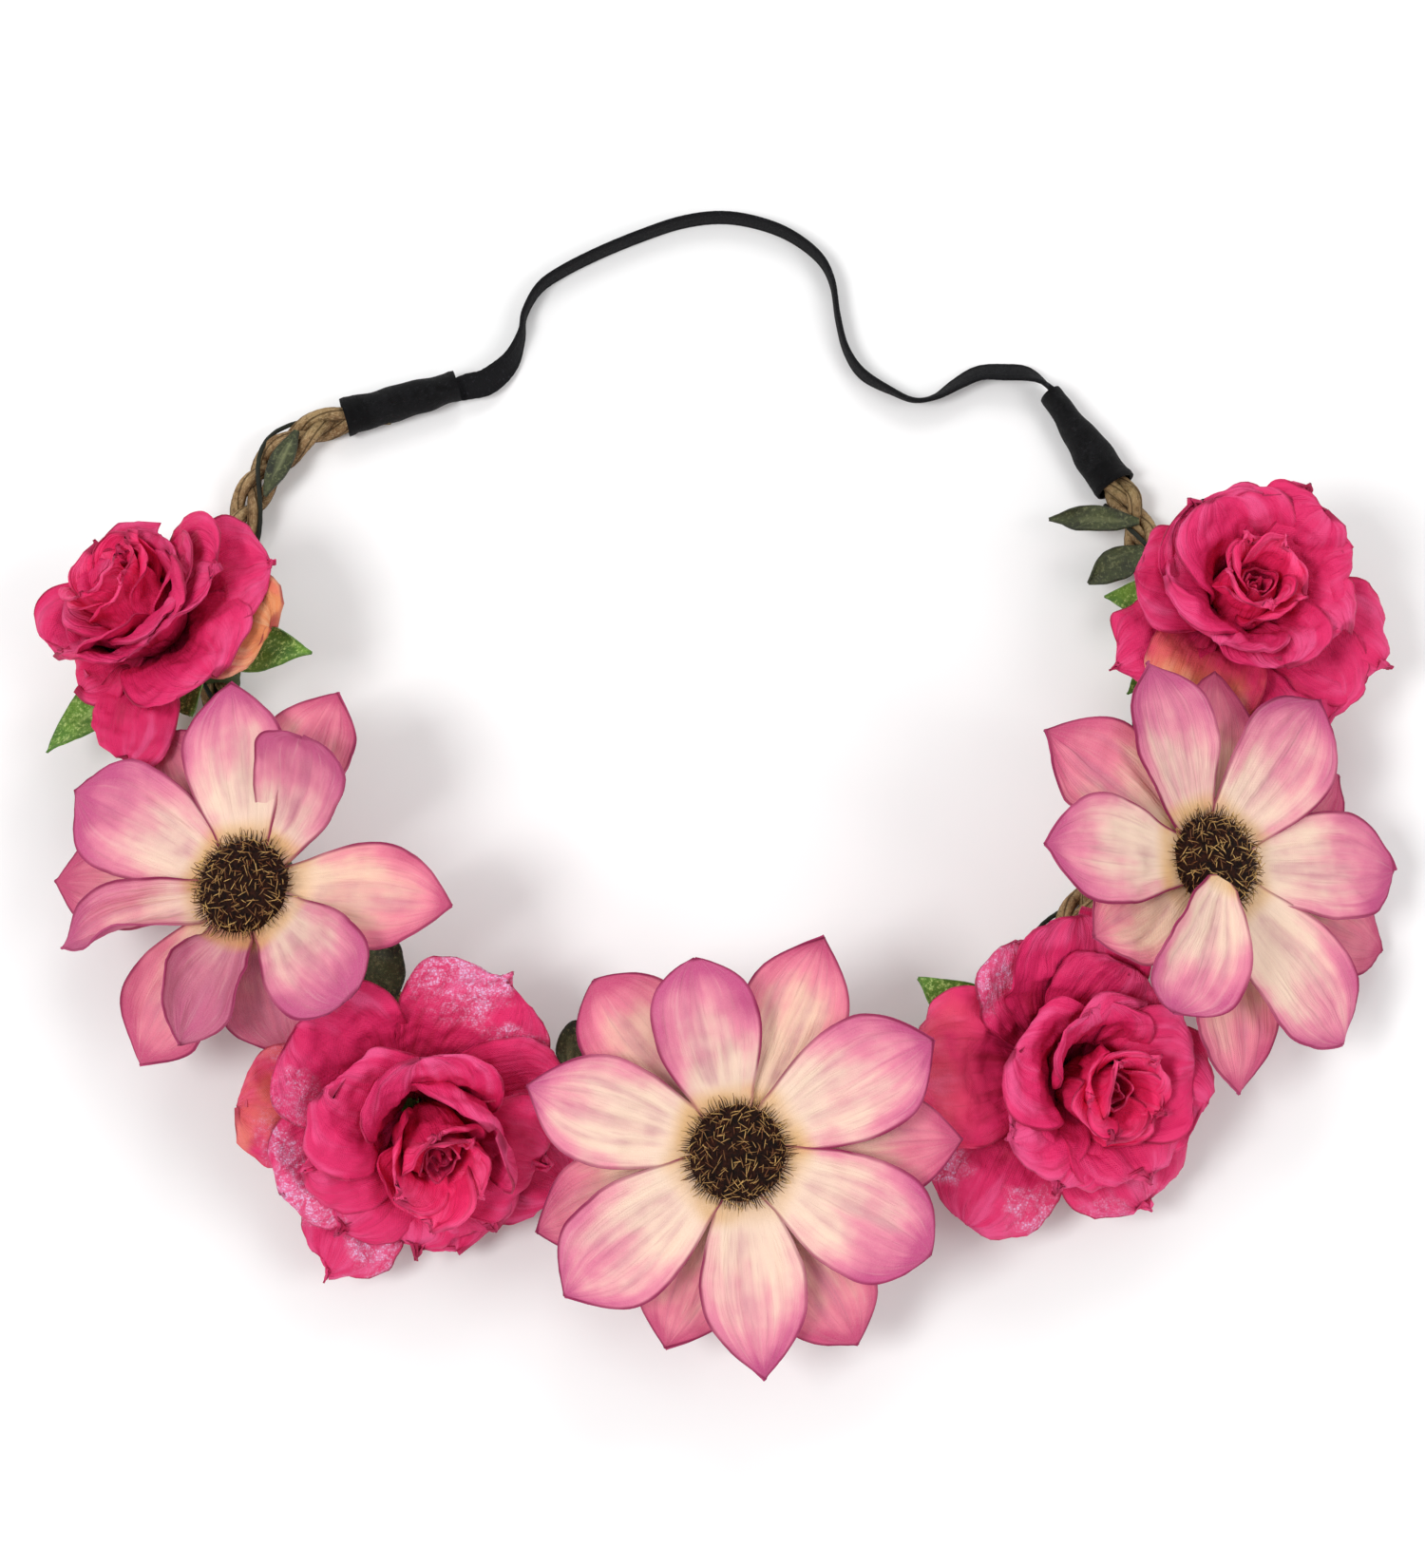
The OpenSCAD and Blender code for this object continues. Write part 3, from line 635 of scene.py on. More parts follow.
# Route of the elastic's centre, in metres, and how far its width leans from upright
ELASTIC_ROUTE = [
    (-0.049, 0.047, 0.004, 0), (-0.0455, 0.048, 0.004, 20), (-0.042, 0.049, 0.004, 50),
    (-0.0385, 0.0502, 0.0036, 55), (-0.0345, 0.0542, 0.0032, 30), (-0.0325, 0.0595, 0.0028, 8),
    (-0.032, 0.064, 0.0026, 0), (-0.0295, 0.069, 0.0026, 0), (-0.0255, 0.0723, 0.0026, 0),
    (-0.0185, 0.0762, 0.0026, 0), (-0.0105, 0.0798, 0.0026, 0), (-0.003, 0.0825, 0.0026, 0),
    (0.004, 0.0835, 0.0026, 0), (0.0105, 0.0826, 0.0026, 0), (0.017, 0.08, 0.0026, 0),
    (0.0225, 0.0755, 0.0026, 0), (0.025, 0.0704, 0.0026, 0), (0.026, 0.0632, 0.0026, 0),
    (0.0275, 0.0568, 0.0026, 0), (0.0305, 0.052, 0.0026, 0), (0.036, 0.0485, 0.0027, -12),
    (0.04, 0.0468, 0.0027, -20), (0.044, 0.0475, 0.0028, -25), (0.048, 0.05, 0.003, -40),
    (0.052, 0.052, 0.0032, -50), (0.0565, 0.052, 0.0036, -55), (0.0605, 0.0515, 0.004, -50),
    (0.064, 0.0495, 0.004, -20), (0.067, 0.046, 0.004, 0), (0.0695, 0.0425, 0.004, 0),
]
ELASTIC_W, ELASTIC_T, ELASTIC_SIDES = 5.0, 0.9, 36
CORNER = 0.55


def make_elastic():
    """A flat ribbed band with rounded edges, which leans as its route says."""
    route = smooth_route(ELASTIC_ROUTE, 10)
    path, lean = route[:, :3] / MM, np.radians(route[:, 3])[:, None]
    step = np.gradient(path, axis=0)
    left = outwards(np.arctan2(step[:, 1], step[:, 0]) + math.pi / 2)
    upright = np.array([0, 0, 1.0])
    wide = np.sin(lean) * left + np.cos(lean) * upright
    thin = np.cos(lean) * left - np.sin(lean) * upright
    turn = around(ELASTIC_SIDES)
    across = np.sign(np.cos(turn)) * np.abs(np.cos(turn)) ** CORNER
    through = np.sign(np.sin(turn)) * np.abs(np.sin(turn)) ** CORNER
    run = lengths_along(path)
    rib = 1 + 0.1 * np.cos(across * 9 * math.pi)
    edge = 1 + 0.012 * np.sin(run * TURN / 1.4)
    rings = path[:, None, :] + (ELASTIC_W / 2) * (edge[:, None] * across)[..., None] * wide[:, None, :]
    rings = rings + (ELASTIC_T / 2 * through * rib)[None, :, None] * thin[:, None, :]
    band = tube_part(rings, True, {"cloth": flat_map(run[:, None] / 10, (across + 1) / 2)})
    piece = place("woven_elastic", [band], "root", "elastic_band", "elastic", 70)


SLEEVE_LENGTH, SLEEVE_WALL = 21.5, 0.5


def make_sleeve(name, at, heading, thick, slim, squash, seed):
    """Black fabric tube over a join: soft lumps, a rolled hem at each mouth, flatter at the elastic."""
    shifts = np.random.default_rng(seed).uniform(0, 6.28, 5)
    stops = np.linspace(0, SLEEVE_LENGTH, 26)
    size = thick + (slim - thick) * stops / SLEEVE_LENGTH
    far = SLEEVE_LENGTH - 0.5
    hem = 0.28 * np.exp(-((stops - 0.5) / 0.5) ** 2) + 0.22 * np.exp(-((stops - far) / 0.5) ** 2)
    outer = list(zip(size + hem, stops))
    inner = [(r - SLEEVE_WALL, s) for r, s in zip(size[::-5], stops[::-5])]

    def bumps(t, i):
        lump = 0.035 * np.sin(2 * t + i * 0.35 + shifts[0]) + 0.022 * np.sin(3 * t - i * 0.6 + shifts[1])
        crease = 0.03 * np.sin(i * 0.9 + shifts[2] + np.sin(t + shifts[3]))
        return 1 + np.where(i < len(outer), lump + crease, 0)

    part = lathe(outer + inner, 48, bumps)
    part.verts[:, 1] *= 1 - (1 - squash) * smoothstep(6, SLEEVE_LENGTH, part.verts[:, 2])
    part.moved(shifted(hoop_point(at)) @ turned(heading) @ turned(90, "Y"))
    place(name + "_cover", [part], "root", name, "sleeve")


# --- petals ---


def creased(x, y, rng, size):
    """Crumpled cloth from -1 to 1: ridged waves in several directions, bent by slower ones."""
    total = 0
    for _ in range(5):
        way, phase, other = rng.uniform(0, math.pi), rng.uniform(0, 6.28), rng.uniform(0, 6.28)
        rate = TURN / (size * rng.uniform(0.8, 1.7))
        along = x * math.cos(way) + y * math.sin(way)
        cross = y * math.cos(way) - x * math.sin(way)
        bent = 0.9 * np.sin(cross * rate * 0.45 + other)
        total = total + 1 - 2 * np.abs(np.sin(along * rate / 2 + phase + bent))
    return total / 3


def petal_outline(u, base, widest, tip, point):
    """Share of the half width along a petal: a narrow claw, the widest part, and a pointed or round tip."""
    rise = np.sin(np.clip(u / widest, 0, 1) * math.pi / 2) ** 1.15
    fall = np.clip((u - widest) / (1 - widest), 0, 1)
    end = np.maximum(np.cos(math.pi / 2 * fall**point), 0) ** tip
    return np.where(u < widest, base + (1 - base) * rise, np.maximum(end, 0.012))


VEIN_LANES = [-0.6, -0.27, 0.03, 0.33, 0.62]
VEIN_DEPTHS = [0.7, 0.8, 1.0, 0.8, 0.7]
EDGE_PACKING = math.pi / 2 * 0.92
MOST_CURL = 2.6


def petal_part(
    az=0, r0=3.0, z0=0.0, flat=0.0, length=30, width=9.5, climbs=(10, -10), bend=0, twist=0, cup=20,
    hug=0.0, pinch=0, roll=(0, 0), base=0.56, widest=0.54, tip=1.0, point=1.15, beak=0.0, fold=0.6,
    ripple=0.5, crumple=0.28, grain=7.0, offset=0.0, thick=0.34, rows=36, cols=44, tone=0.5,
    blush=0.0, pearl=0.0, seed=0,
):
    """One petal in its flower's frame.

    It starts at (r0, 0, z0) turned by az, runs flat for a stretch and then climbs as told over its
    length, with a sideways bend and a twist. Across, it is cupped, hugs the flower's axis, and is pinched
    at its middle; its sides roll (minus is back). base, widest, tip, point and beak are its outline. fold
    is the depth of its pressed veins, ripple that of slow waves, and crumple that of creases as large as
    grain. offset lifts one side over its neighbour. tone, blush and pearl only colour it.
    """
    rng = np.random.default_rng(seed)
    run = (1 - (1 - np.linspace(0, 1, rows + 1)) ** 1.25)[:, None] * (flat + length)
    u = np.clip((run - flat) / length, 0, 1)
    climb = np.radians(smooth_values(climbs, u)) * smoothstep(0, 0.12 if flat else 1e-6, u + 1e-9)
    yaw = np.radians(bend) * u**1.5
    level = np.zeros_like(u)
    heading = np.hstack([np.cos(climb) * np.cos(yaw), np.cos(climb) * np.sin(yaw), np.sin(climb)])
    steps = np.diff(run, axis=0) * (heading[1:] + heading[:-1]) / 2
    middle = np.vstack([[[0, 0, 0]], np.cumsum(steps, axis=0)]) + [r0, 0, z0]
    side = np.hstack([-np.sin(yaw), np.cos(yaw), level])
    normal = np.cross(heading, side)
    turn = np.radians(twist) * u
    side, normal = np.cos(turn) * side + np.sin(turn) * normal, np.cos(turn) * normal - np.sin(turn) * side

    # v runs from one side to the other, and the section is laid along the angle that the cloth has at each v
    v = np.sin(np.linspace(-1, 1, cols + 1)[None, :] * EDGE_PACKING) / math.sin(EDGE_PACKING)
    claw = np.clip(run / flat, 0, 1) if flat else 1.0
    size = petal_outline(u, base, widest, tip, point) * width * (0.6 + 0.4 * claw)
    body = np.sin(u * math.pi) ** 0.6 if flat else 1.0
    angle = np.radians(cup) * v * body + hug * size * v / np.maximum(middle[:, :1], 1.5)
    angle = angle + np.radians(pinch) * np.tanh(v * 5) * body
    curl = np.radians(np.where(v < 0, *roll)) * np.sign(v) * np.abs(v) ** 2.2
    angle = np.clip(angle + curl * smoothstep(0.3, 0.9, u), -MOST_CURL, MOST_CURL)
    between = (angle[:, 1:] + angle[:, :-1]) / 2

    def laid(parts):
        total = np.hstack([level, np.cumsum(np.diff(v) * parts, axis=1)])
        return ((total - total[:, cols // 2 : cols // 2 + 1]) * size)[..., None]

    grid = middle[:, None, :] + laid(np.cos(between)) * side[:, None, :]
    grid = grid + laid(np.sin(between)) * normal[:, None, :]

    lanes = np.array(VEIN_LANES) + rng.uniform(-0.08, 0.08, 5)
    depths = rng.uniform(0.35, 1.0, 5) * np.array(VEIN_DEPTHS)
    fan = 0.55 + 0.45 * u
    ridge = sum(d * np.exp(-np.abs((v - lane * fan) / 0.1) ** 1.5) for lane, d in zip(lanes, depths))
    fade = smoothstep(0.02, 0.2, u) * smoothstep(1.0, 0.6, u)
    phases = rng.uniform(0, 6.28, 4)
    waves = np.sin(u * 8 + phases[0] + v) * v**2 * (0.3 + 0.7 * u)
    waves = waves + 0.6 * np.sin(u * 15 + phases[1] - 2 * v) * np.abs(v) ** 3
    waves = waves + 0.5 * np.sin(u * 3.1 + phases[2]) * np.cos(v * 2 + phases[3])
    crumpled = creased(v * size, run, rng, grain) + 0.4 * creased(v * size, run, rng, grain * 0.45)
    shift = ripple * waves * smoothstep(0.05, 0.35, u) - fold * ridge * fade
    shift = shift + crumple * crumpled * smoothstep(0.0, 0.3, u) + offset * v
    drawn = beak * smoothstep(0.72, 1.0, u) * np.exp(-((v / 0.22) ** 2))
    grid = grid + drawn[..., None] * heading[:, None, :]
    grid = grid + shift[..., None] * grid_normals(grid)
    values = {
        "along": u, "across": v, "edge": np.minimum((1 - np.abs(v)) * size, (1 - u) * length),
        "vein": np.clip(ridge, 0, 1) * fade, "tone": tone, "blush": blush * smoothstep(0.35, 0.95, u),
        "pearl": pearl * smoothstep(0.45, 0.85, u), "cloth": flat_map(v * size / 10, run / 10),
    }
    return sheet_part(grid, thick, values).moved(turned(az))


def petal(az, length, width, climbs, roll=None, **special):
    """A line of the petal tables. A single number for climbs is added to the whorl's own."""
    rolled = {"roll": roll} if roll else {}
    return {"az": az, "length": length, "width": width, "climbs": climbs, **rolled, **special}


# --- daisies ---

# Hub point, tilt and the direction tilted towards, as in the CAD
DAISIES = {
    "left_daisy": ((-77, -55.5, 30), 20, 185),
    "centre_daisy": ((7, -102, 30), 18, 270),
    "right_daisy": ((88, -51, 30), 32, 355),
}
ROSES = {
    "left_rose": ((-94.5, -4, 16), 20, 150),
    "low_left_rose": ((-50.5, -89.5, 15), 24, 300),
    "low_right_rose": ((61, -82.5, 15), 22, 320),
    "right_rose": ((96, 2.5, 15), 8, 330),
}
DAISY_Z = {"back": 0.7, "front": 1.9}
DAISY_CLIMBS = {"back": (2, -4, -14), "front": (13, 4, -10)}
DISC_R, DISC_H, BRISTLES, RIM_FROM = 9.0, 5.5, 440, 0.72
DAISY_CALYX = 6.0, 6.5
ROSE_CALYX = 3.5, 4.2
DAISY_TONE = {"left_daisy": 0.2, "centre_daisy": 0.0, "right_daisy": 0.0}


def flower_matrix(hub, tilt, toward):
    return shifted(hub) @ leaning(tilt, toward)


# The back and the front whorl of each daisy
DAISY_PETALS = {
    # A tone above 1 lays mauve painted shade on a petal that turns into shadow, as on the left daisy's petals
    # with tone 1.5 and 1.7.
    "left_daisy": ([
        petal(67, 29, 9.4, -2), petal(122, 28, 9, -2, tone=0.8), petal(171, 31, 9, -2),
        petal(233, 27, 9.6, -2, cup=26, fold=0.6), petal(280, 21, 9.4, -18, tone=1.5),
        petal(351, 28.5, 9.6, 0, cup=24, tone=0.4),
    ], [
        petal(55, 22, 9.2, (10, 34, 58), cup=10, twist=14, tip=0.5, point=1.4, widest=0.7, tone=0.8),
        petal(93, 27.5, 9.4, 6, cup=14, tone=0.45),
        petal(147, 29, 10.2, 3, cup=16, point=1.4, bend=4, widest=0.58, fold=0.6, tone=0.6),
        petal(191, 25.5, 7.4, 6, pinch=50, twist=24, bend=12, tone=0.9),
        petal(252, 22.5, 8.4, 20, twist=-50, cup=74, bend=8, tone=1.7, point=1.4),
        petal(314, 23.5, 9.8, 12, cup=22, tip=0.6, point=1.7, widest=0.64, tone=0.85, fold=0.6),
    ]),
    "centre_daisy": ([
        petal(3, 29.5, 9.4, 0), petal(68, 30.5, 9.2, 0, tone=0.1, fold=0.7),
        petal(130, 29, 10.2, 2, cup=26, tip=0.8, point=1.5), petal(202, 28, 9.2, -2, tone=0.2),
        petal(250, 27, 8.8, -3), petal(302, 30, 9.4, -2, point=1.5, fold=0.7),
    ], [
        petal(32, 29.5, 10.2, 1, bend=-6, point=1.4, tone=0.5),
        petal(104, 25.5, 9.2, 10, tip=0.75, point=1.6, cup=10, tone=0.8, bend=-6),
        petal(162, 28.5, 9.6, 2, cup=20, tone=0.12),
        petal(218, 29, 10.2, 0, cup=24, bend=5, tone=0.26, point=1.4),
        petal(277, 29.5, 9.2, 0, cup=24, tone=0.45, fold=0.9, widest=0.48, point=1.1),
        petal(334, 28, 10.4, 1, tip=0.8, point=1.6, bend=-6, tone=0.62),
    ]),
    "right_daisy": ([
        petal(34, 30, 9.4, -2, tone=0.7), petal(84, 27, 8.4, 0, tone=0.8),
        petal(149, 29, 10.2, 0, cup=20, fold=0.7), petal(214, 19, 9.6, 0, tone=0),
        petal(283, 31, 9.2, -2, fold=0.7), petal(348, 34, 9.8, -2, point=1.4),
    ], [
        petal(6, 31, 9.8, 0, tip=0.85, point=1.4), petal(56, 30, 10.2, 3, cup=26, tone=0.85, fold=0.7),
        petal(116, 27.5, 9.2, 5, tone=0.95, fold=0.7, point=1.3), petal(184, 28, 9.8, 2, cup=14, point=1.3),
        petal(250, 26, 9.6, (6, 2, -14, -26), r0=4.5, flat=0.001, z0=7, cup=44, tip=0.8, point=1.6,
              widest=0.66, base=0.3, tone=0.3),
        petal(313, 30.5, 10.6, 0, tip=0.8, point=1.5, tone=0.12),
    ]),
}


def make_daisy(name):
    here = flower_matrix(*DAISIES[name])
    seed = 100 * (1 + list(DAISIES).index(name))
    rng = np.random.default_rng(seed)
    for layer, rows in zip(("back", "front"), DAISY_PETALS[name]):
        parts = []
        for k, row in enumerate(rows):
            given = {
                "cup": 16 + rng.uniform(-4, 4), "tone": rng.uniform(0.3, 0.6), "flat": 6.2,
                "z0": DAISY_Z[layer] + 0.14 * (k % 2), "seed": seed + 10 * k + len(layer), **row,
            }
            if np.isscalar(given["climbs"]):
                given["climbs"] = [climb + given["climbs"] for climb in DAISY_CLIMBS[layer]]
            given["tone"] += DAISY_TONE[name]
            parts.append(petal_part(**given).moved(here))
        place(f"{name}_{layer}_whorl", parts, name, f"{name}_{layer}_petals", "daisy_" + layer)
    make_disc(name, here @ shifted((0, 0, DAISY_Z["front"] + 0.2)), seed)
    make_calyx(name, here, *DAISY_CALYX)
    make_stem(name, here, DAISY_CALYX[0])


def make_disc(name, here, seed):
    """Dark dome covered in short curved bristles, which lean outwards round its rim."""
    rng = np.random.default_rng(seed + 7)
    arc = np.linspace(0, math.pi / 2, 12)
    dome = [(DISC_R * 0.9 * math.cos(a), 0.5 + (DISC_H - 1.6) * math.sin(a)) for a in arc[:-1]]
    outline = [(DISC_R * 0.9, 0.0)] + dome + [(0.05, DISC_H - 1.1), (0.05, 0.0)]
    parts = [lathe(outline, 48, lambda t, i: 1 + 0.02 * np.sin(9 * t + i))]
    golden = math.pi * (3 - math.sqrt(5))
    for k in range(BRISTLES):
        share = (k + 0.5) / BRISTLES
        polar = math.acos(1 - share * 0.97)
        radial = Vector((math.cos(k * golden), math.sin(k * golden), 0))
        height = 0.4 + (DISC_H - 1.7) * math.cos(polar)
        foot = radial * (DISC_R * 0.88 * math.sin(polar)) + Vector((0, 0, height))
        up = (radial * math.sin(polar) + Vector((0, 0, 1.0)) * math.cos(polar)).normalized()
        lean = Vector(rng.normal(0, 1.0, 3).tolist())
        lean = (lean - up * lean.dot(up)).normalized() * rng.uniform(0.3, 0.9)
        lift = up * 0.6
        if share > RIM_FROM:
            lean = (lean * 0.5 + radial + Vector((0, 0, 0.4))) * 0.7
            lift = up * 0.75
        long = rng.uniform(1.6, 2.8)
        swerve = up.cross(lean) * rng.uniform(-0.7, 0.7)
        knee, end = (lift + lean * 0.45) * long * 0.6, (lift * 0.8 + lean + swerve).normalized() * long
        path = smooth_route([tuple(point) for point in (foot, foot + knee, foot + end)], 4)
        radius = np.linspace(0.12, 0.05, len(path)) * rng.uniform(0.8, 1.2)
        hint = (0, 0, 1) if abs(up.z) < 0.8 else (1, 0.2, 0)
        along = np.linspace(0, 1, len(path))[:, None]
        parts.append(round_tube(path, radius, 5, hint, slot=1, along=along, tone=rng.uniform(0, 1) ** 1.3))
    parts = [part.moved(here) for part in parts]
    looks = ["disc_core", "bristle"]
    place(f"{name}_bristly_disc", parts, name, f"{name}_seed_disc", "seed_disc", looks=looks)


# --- what every flower has ---


def make_calyx(name, here, height, wide):
    """Ribbed green cup under a flower, with the peg that its whorls sit on."""
    cup = [(1.5 + (wide - 1.5) * a**1.4, -height * (1 - a)) for a in np.linspace(0, 1, 9)]
    outline = cup + [(wide - 0.3, 0.25), (1.5, 0.25), (1.4, 0.9), (1.4, 4.2), (0.05, 4.4), (0.05, -height)]

    def ribs(t, i):
        i = len(outline) - 1 - i
        return 1 + np.where((i > 0) & (i < len(cup) - 1), 0.05 * np.cos(10 * t), 0)

    part = lathe(outline[::-1], 60, ribs).moved(here)
    place(f"{name}_cup", [part], name, f"{name}_calyx", "calyx", 50)


def make_stem(name, here, calyx_height):
    """Wrapped wire: out of its tape, round a bend and up the flower's axis."""
    joint = next(j for j in frame["joints"] if j["child"] == name)
    start = np.array(joint["pos_m"]) / MM
    angle = math.atan2(start[1], start[0])
    lead = math.sin(BOSS_LEAN) * outwards(angle) + [0, 0, math.cos(BOSS_LEAN)]
    ends = [np.array(here @ Vector((0, 0, z - calyx_height))) for z in (-2, 0.3)]
    path = smooth_route([start - 0.9 * lead, start + 1.4 * lead, start + 3.2 * lead, *ends], 10)
    across = (-math.sin(angle), math.cos(angle), 0.02)
    part = round_tube(path, 1.0, 14, across, lambda s, t: 1 + 0.05 * np.sin(2.2 * s - t))
    place(f"{name}_wrapped_stem", [part], name, f"{name}_stem", "stem")


# --- roses ---

# How each rose is built: its size, how far its heart leans in which direction and is shifted, then the
# petals of its outer and middle whorls
ROSE_LOOK = {
    "left_rose": (1.06, (26, 140, (2.0, -2.5, -1.0)), [
        petal(344, 25, 11, (24, 34, 16, -10), (-20, -50), blush=1),
        petal(12, 26, 11, (36, 44, 32, 8, -24), (-10, -40), tip=0.8, beak=1, offset=1.2),
        petal(98, 14, 10, (50, 66, 70, 60), (-30, -30), tip=0.8),
        petal(168, 17, 12, (36, 60, 60, 44), (-30, -30)),
        petal(218, 17, 8, (10, 30, 10, -24), (-60, -70), ripple=1.3),
        petal(262, 26, 9, (0, 22, 4, -30), (-60, -50), ripple=1.4),
        petal(312, 25, 13, (34, 50, 24, -20), (-20, -60), ripple=1),
    ], [
        petal(352, 23, 12, (38, 54, 48, 30, -10), (-10, -30), beak=1.5),
        petal(42, 18, 12, (44, 68, 72, 60, 30), (-20, -20)),
        petal(95, 16, 11, (46, 72, 80, 76, 60), beak=1.5), petal(168, 17, 12, (44, 68, 76, 66, 30)),
        petal(234, 21, 13, (34, 62, 68, 40, 0), (-20, -20)),
        petal(300, 22, 14, (32, 58, 60, 34, -10), (-10, -20), fold=0.6),
        petal(330, 22, 12, (38, 60, 60, 40, 6), (-10, -20)),
    ]),
    "low_left_rose": (1.04, (28, 282, (2.5, -0.3, -1.0)), [
        petal(56, 27, 14, (18, 30, 20, 4), (-20, -50), pearl=1, tip=0.6, beak=2),
        petal(146, 26, 14, (22, 36, 24, 4), (-50, -20), pearl=0.7, fold=0.6),
        petal(181, 28, 11, (4, 16, 6, -6), (-30, -50), pearl=0.4, blush=0.55),
        petal(214, 26, 11, (12, 26, 14, -6), (-50, -50), pearl=0.9),
        petal(246, 30, 10, (2, 14, 6, -10), (-60, -70), pearl=1, tip=0.8, beak=2),
        petal(290, 25, 11, (4, 18, 6, -12), (-60, -60)),
        petal(334, 29, 12, (6, 18, 6, -10), (-40, -50), pearl=0.8),
        petal(10, 27, 10, (22, 42, 26, 0), (-50, -40), beak=1.5),
    ], [
        petal(44, 25, 14, (36, 62, 70, 84, 100), (20, 10), hug=0.5, tip=0.42),
        petal(104, 24, 13, (38, 64, 66, 40, -4), (-10, -20)),
        petal(150, 25, 12, (34, 58, 50, 16, -20), (-80, -60), fold=0.6),
        petal(196, 24, 10, (34, 56, 46, 14, -20), (-90, -90), beak=1.5),
        petal(232, 24, 9, (30, 52, 44, 10, -20), (-100, -90), beak=1.5),
        petal(268, 23, 9, (30, 52, 46, 14, -16), (-100, -90), beak=1.5),
        petal(308, 23, 10, (30, 56, 50, 20, -10), (-90, -90), beak=1.5),
        petal(350, 24, 12, (34, 60, 52, 16, -20), (-50, -70), beak=1.5),
    ]),
    "low_right_rose": (0.98, (14, 330, (3.0, -3.0, -0.5)), [
        petal(346, 27, 12, (20, 44, 30, 0), (-40, -50)),
        petal(62, 23, 11, (34, 54, 44, 8), (-30, -30), widest=0.72),
        petal(92, 28, 13, (28, 46, 34, 2), (20, 10), hug=0.25, widest=0.66, tip=0.42),
        petal(116, 23, 11, (14, 36, 22, -6), (-50, -30), pearl=1),
        petal(184, 26, 14, (16, 28, 6, -14), (-50, -10), blush=0.2, fold=0.6),
        petal(242, 30, 12, (0, 10, 2, -12), (-50, -50), pearl=1, ripple=1.2),
        petal(304, 28, 12, (6, 26, 14, -12), (-40, -60), beak=1, pearl=0.4),
    ], [
        petal(12, 24, 13, (34, 62, 66, 40, 4), (-20, -30)),
        petal(60, 22, 11, (40, 66, 70, 44, 10), (-60, -60)),
        petal(112, 22, 12, (40, 66, 72, 60, 30), (-10, -10)),
        petal(160, 23, 12, (38, 62, 60, 26, -16), (-60, -70)),
        petal(208, 24, 11, (34, 60, 56, 24, -16), (-70, -70), beak=1.5),
        petal(252, 24, 10, (32, 58, 54, 22, -14), (-90, -80), beak=1.5),
        petal(300, 24, 12, (30, 58, 60, 34, -10), (-50, -60), beak=1.5),
    ]),
    "right_rose": (0.92, (13, 60, (-0.5, -3.5, 0.0)), [
        petal(44, 24, 10, (40, 60, 52, 24), (-60, -60), ripple=1.3),
        petal(84, 22, 11, (40, 60, 56, 34), (-40, -40)),
        petal(130, 22, 13, (38, 60, 50, 16), (-40, -20), beak=1.5),
        petal(176, 22, 10, (26, 48, 30, -6), (-50, -60)),
        petal(212, 26, 9, (10, 26, 10, -10), (-60, -70), tip=0.8, beak=1.5),
        petal(244, 25, 11, (16, 34, 18, -6), (-30, -40), blush=1),
        petal(300, 27, 14, (12, 28, 10, -8), (-20, -40), tip=0.62, fold=0.6),
        petal(334, 27.5, 12, (12, 26, 8, -14), (-40, -60), tip=0.8, beak=1.2),
    ], [
        petal(20, 26, 11, (40, 62, 60, 34, -10), (-90, -80), ripple=1.4),
        petal(66, 27, 11, (42, 60, 58, 34, -4), (-80, -60), ripple=1.2, beak=1.5),
        petal(124, 25, 14, (42, 64, 68, 50, 4), (-20, -60)),
        petal(186, 24, 13, (36, 60, 62, 36, -4), (-20, -30), fold=0.7),
        petal(236, 23, 12, (34, 58, 62, 50, 20), (-20, -20), fold=0.7),
        petal(282, 24, 12, (32, 58, 60, 40, 6), (-30, -30), fold=0.7),
        petal(330, 24, 11, (34, 62, 60, 34, -6), (-60, -70)),
    ]),
}
INNER_CLIMBS = np.array([50, 78, 88, 80, 40])
# Sepals: azimuth, length and half width of each leafy lobe under a rose
SEPALS = {
    "left_rose": [(43, 20, 4.4), (130, 16, 4.4), (226, 28, 5.2), (290, 17, 5.0), (344, 28, 5.4)],
    "low_left_rose": [(30, 19, 4.8), (104, 17, 5.0), (175, 19, 4.8), (250, 19, 4.8), (320, 19, 4.8)],
    "low_right_rose": [(20, 19, 4.8), (80, 17, 4.8), (151, 26.5, 5.4), (225, 19, 4.8), (310, 19, 4.8)],
    "right_rose": [(60, 17, 4.6), (120, 17, 4.6), (180, 22, 4.8), (222, 25, 4.6), (338, 25, 4.6)],
}


def rose_petal(here, **given):
    base = {
        "r0": 2.2, "hug": 0.7, "cup": 8, "base": 0.22, "widest": 0.66, "tip": 0.5, "point": 1.7, "fold": 0.4,
        "ripple": 0.7, "crumple": 0.75, "grain": 8.0, "rows": 40, "thick": 0.36,
    }
    return petal_part(**{**base, **given}).moved(here)


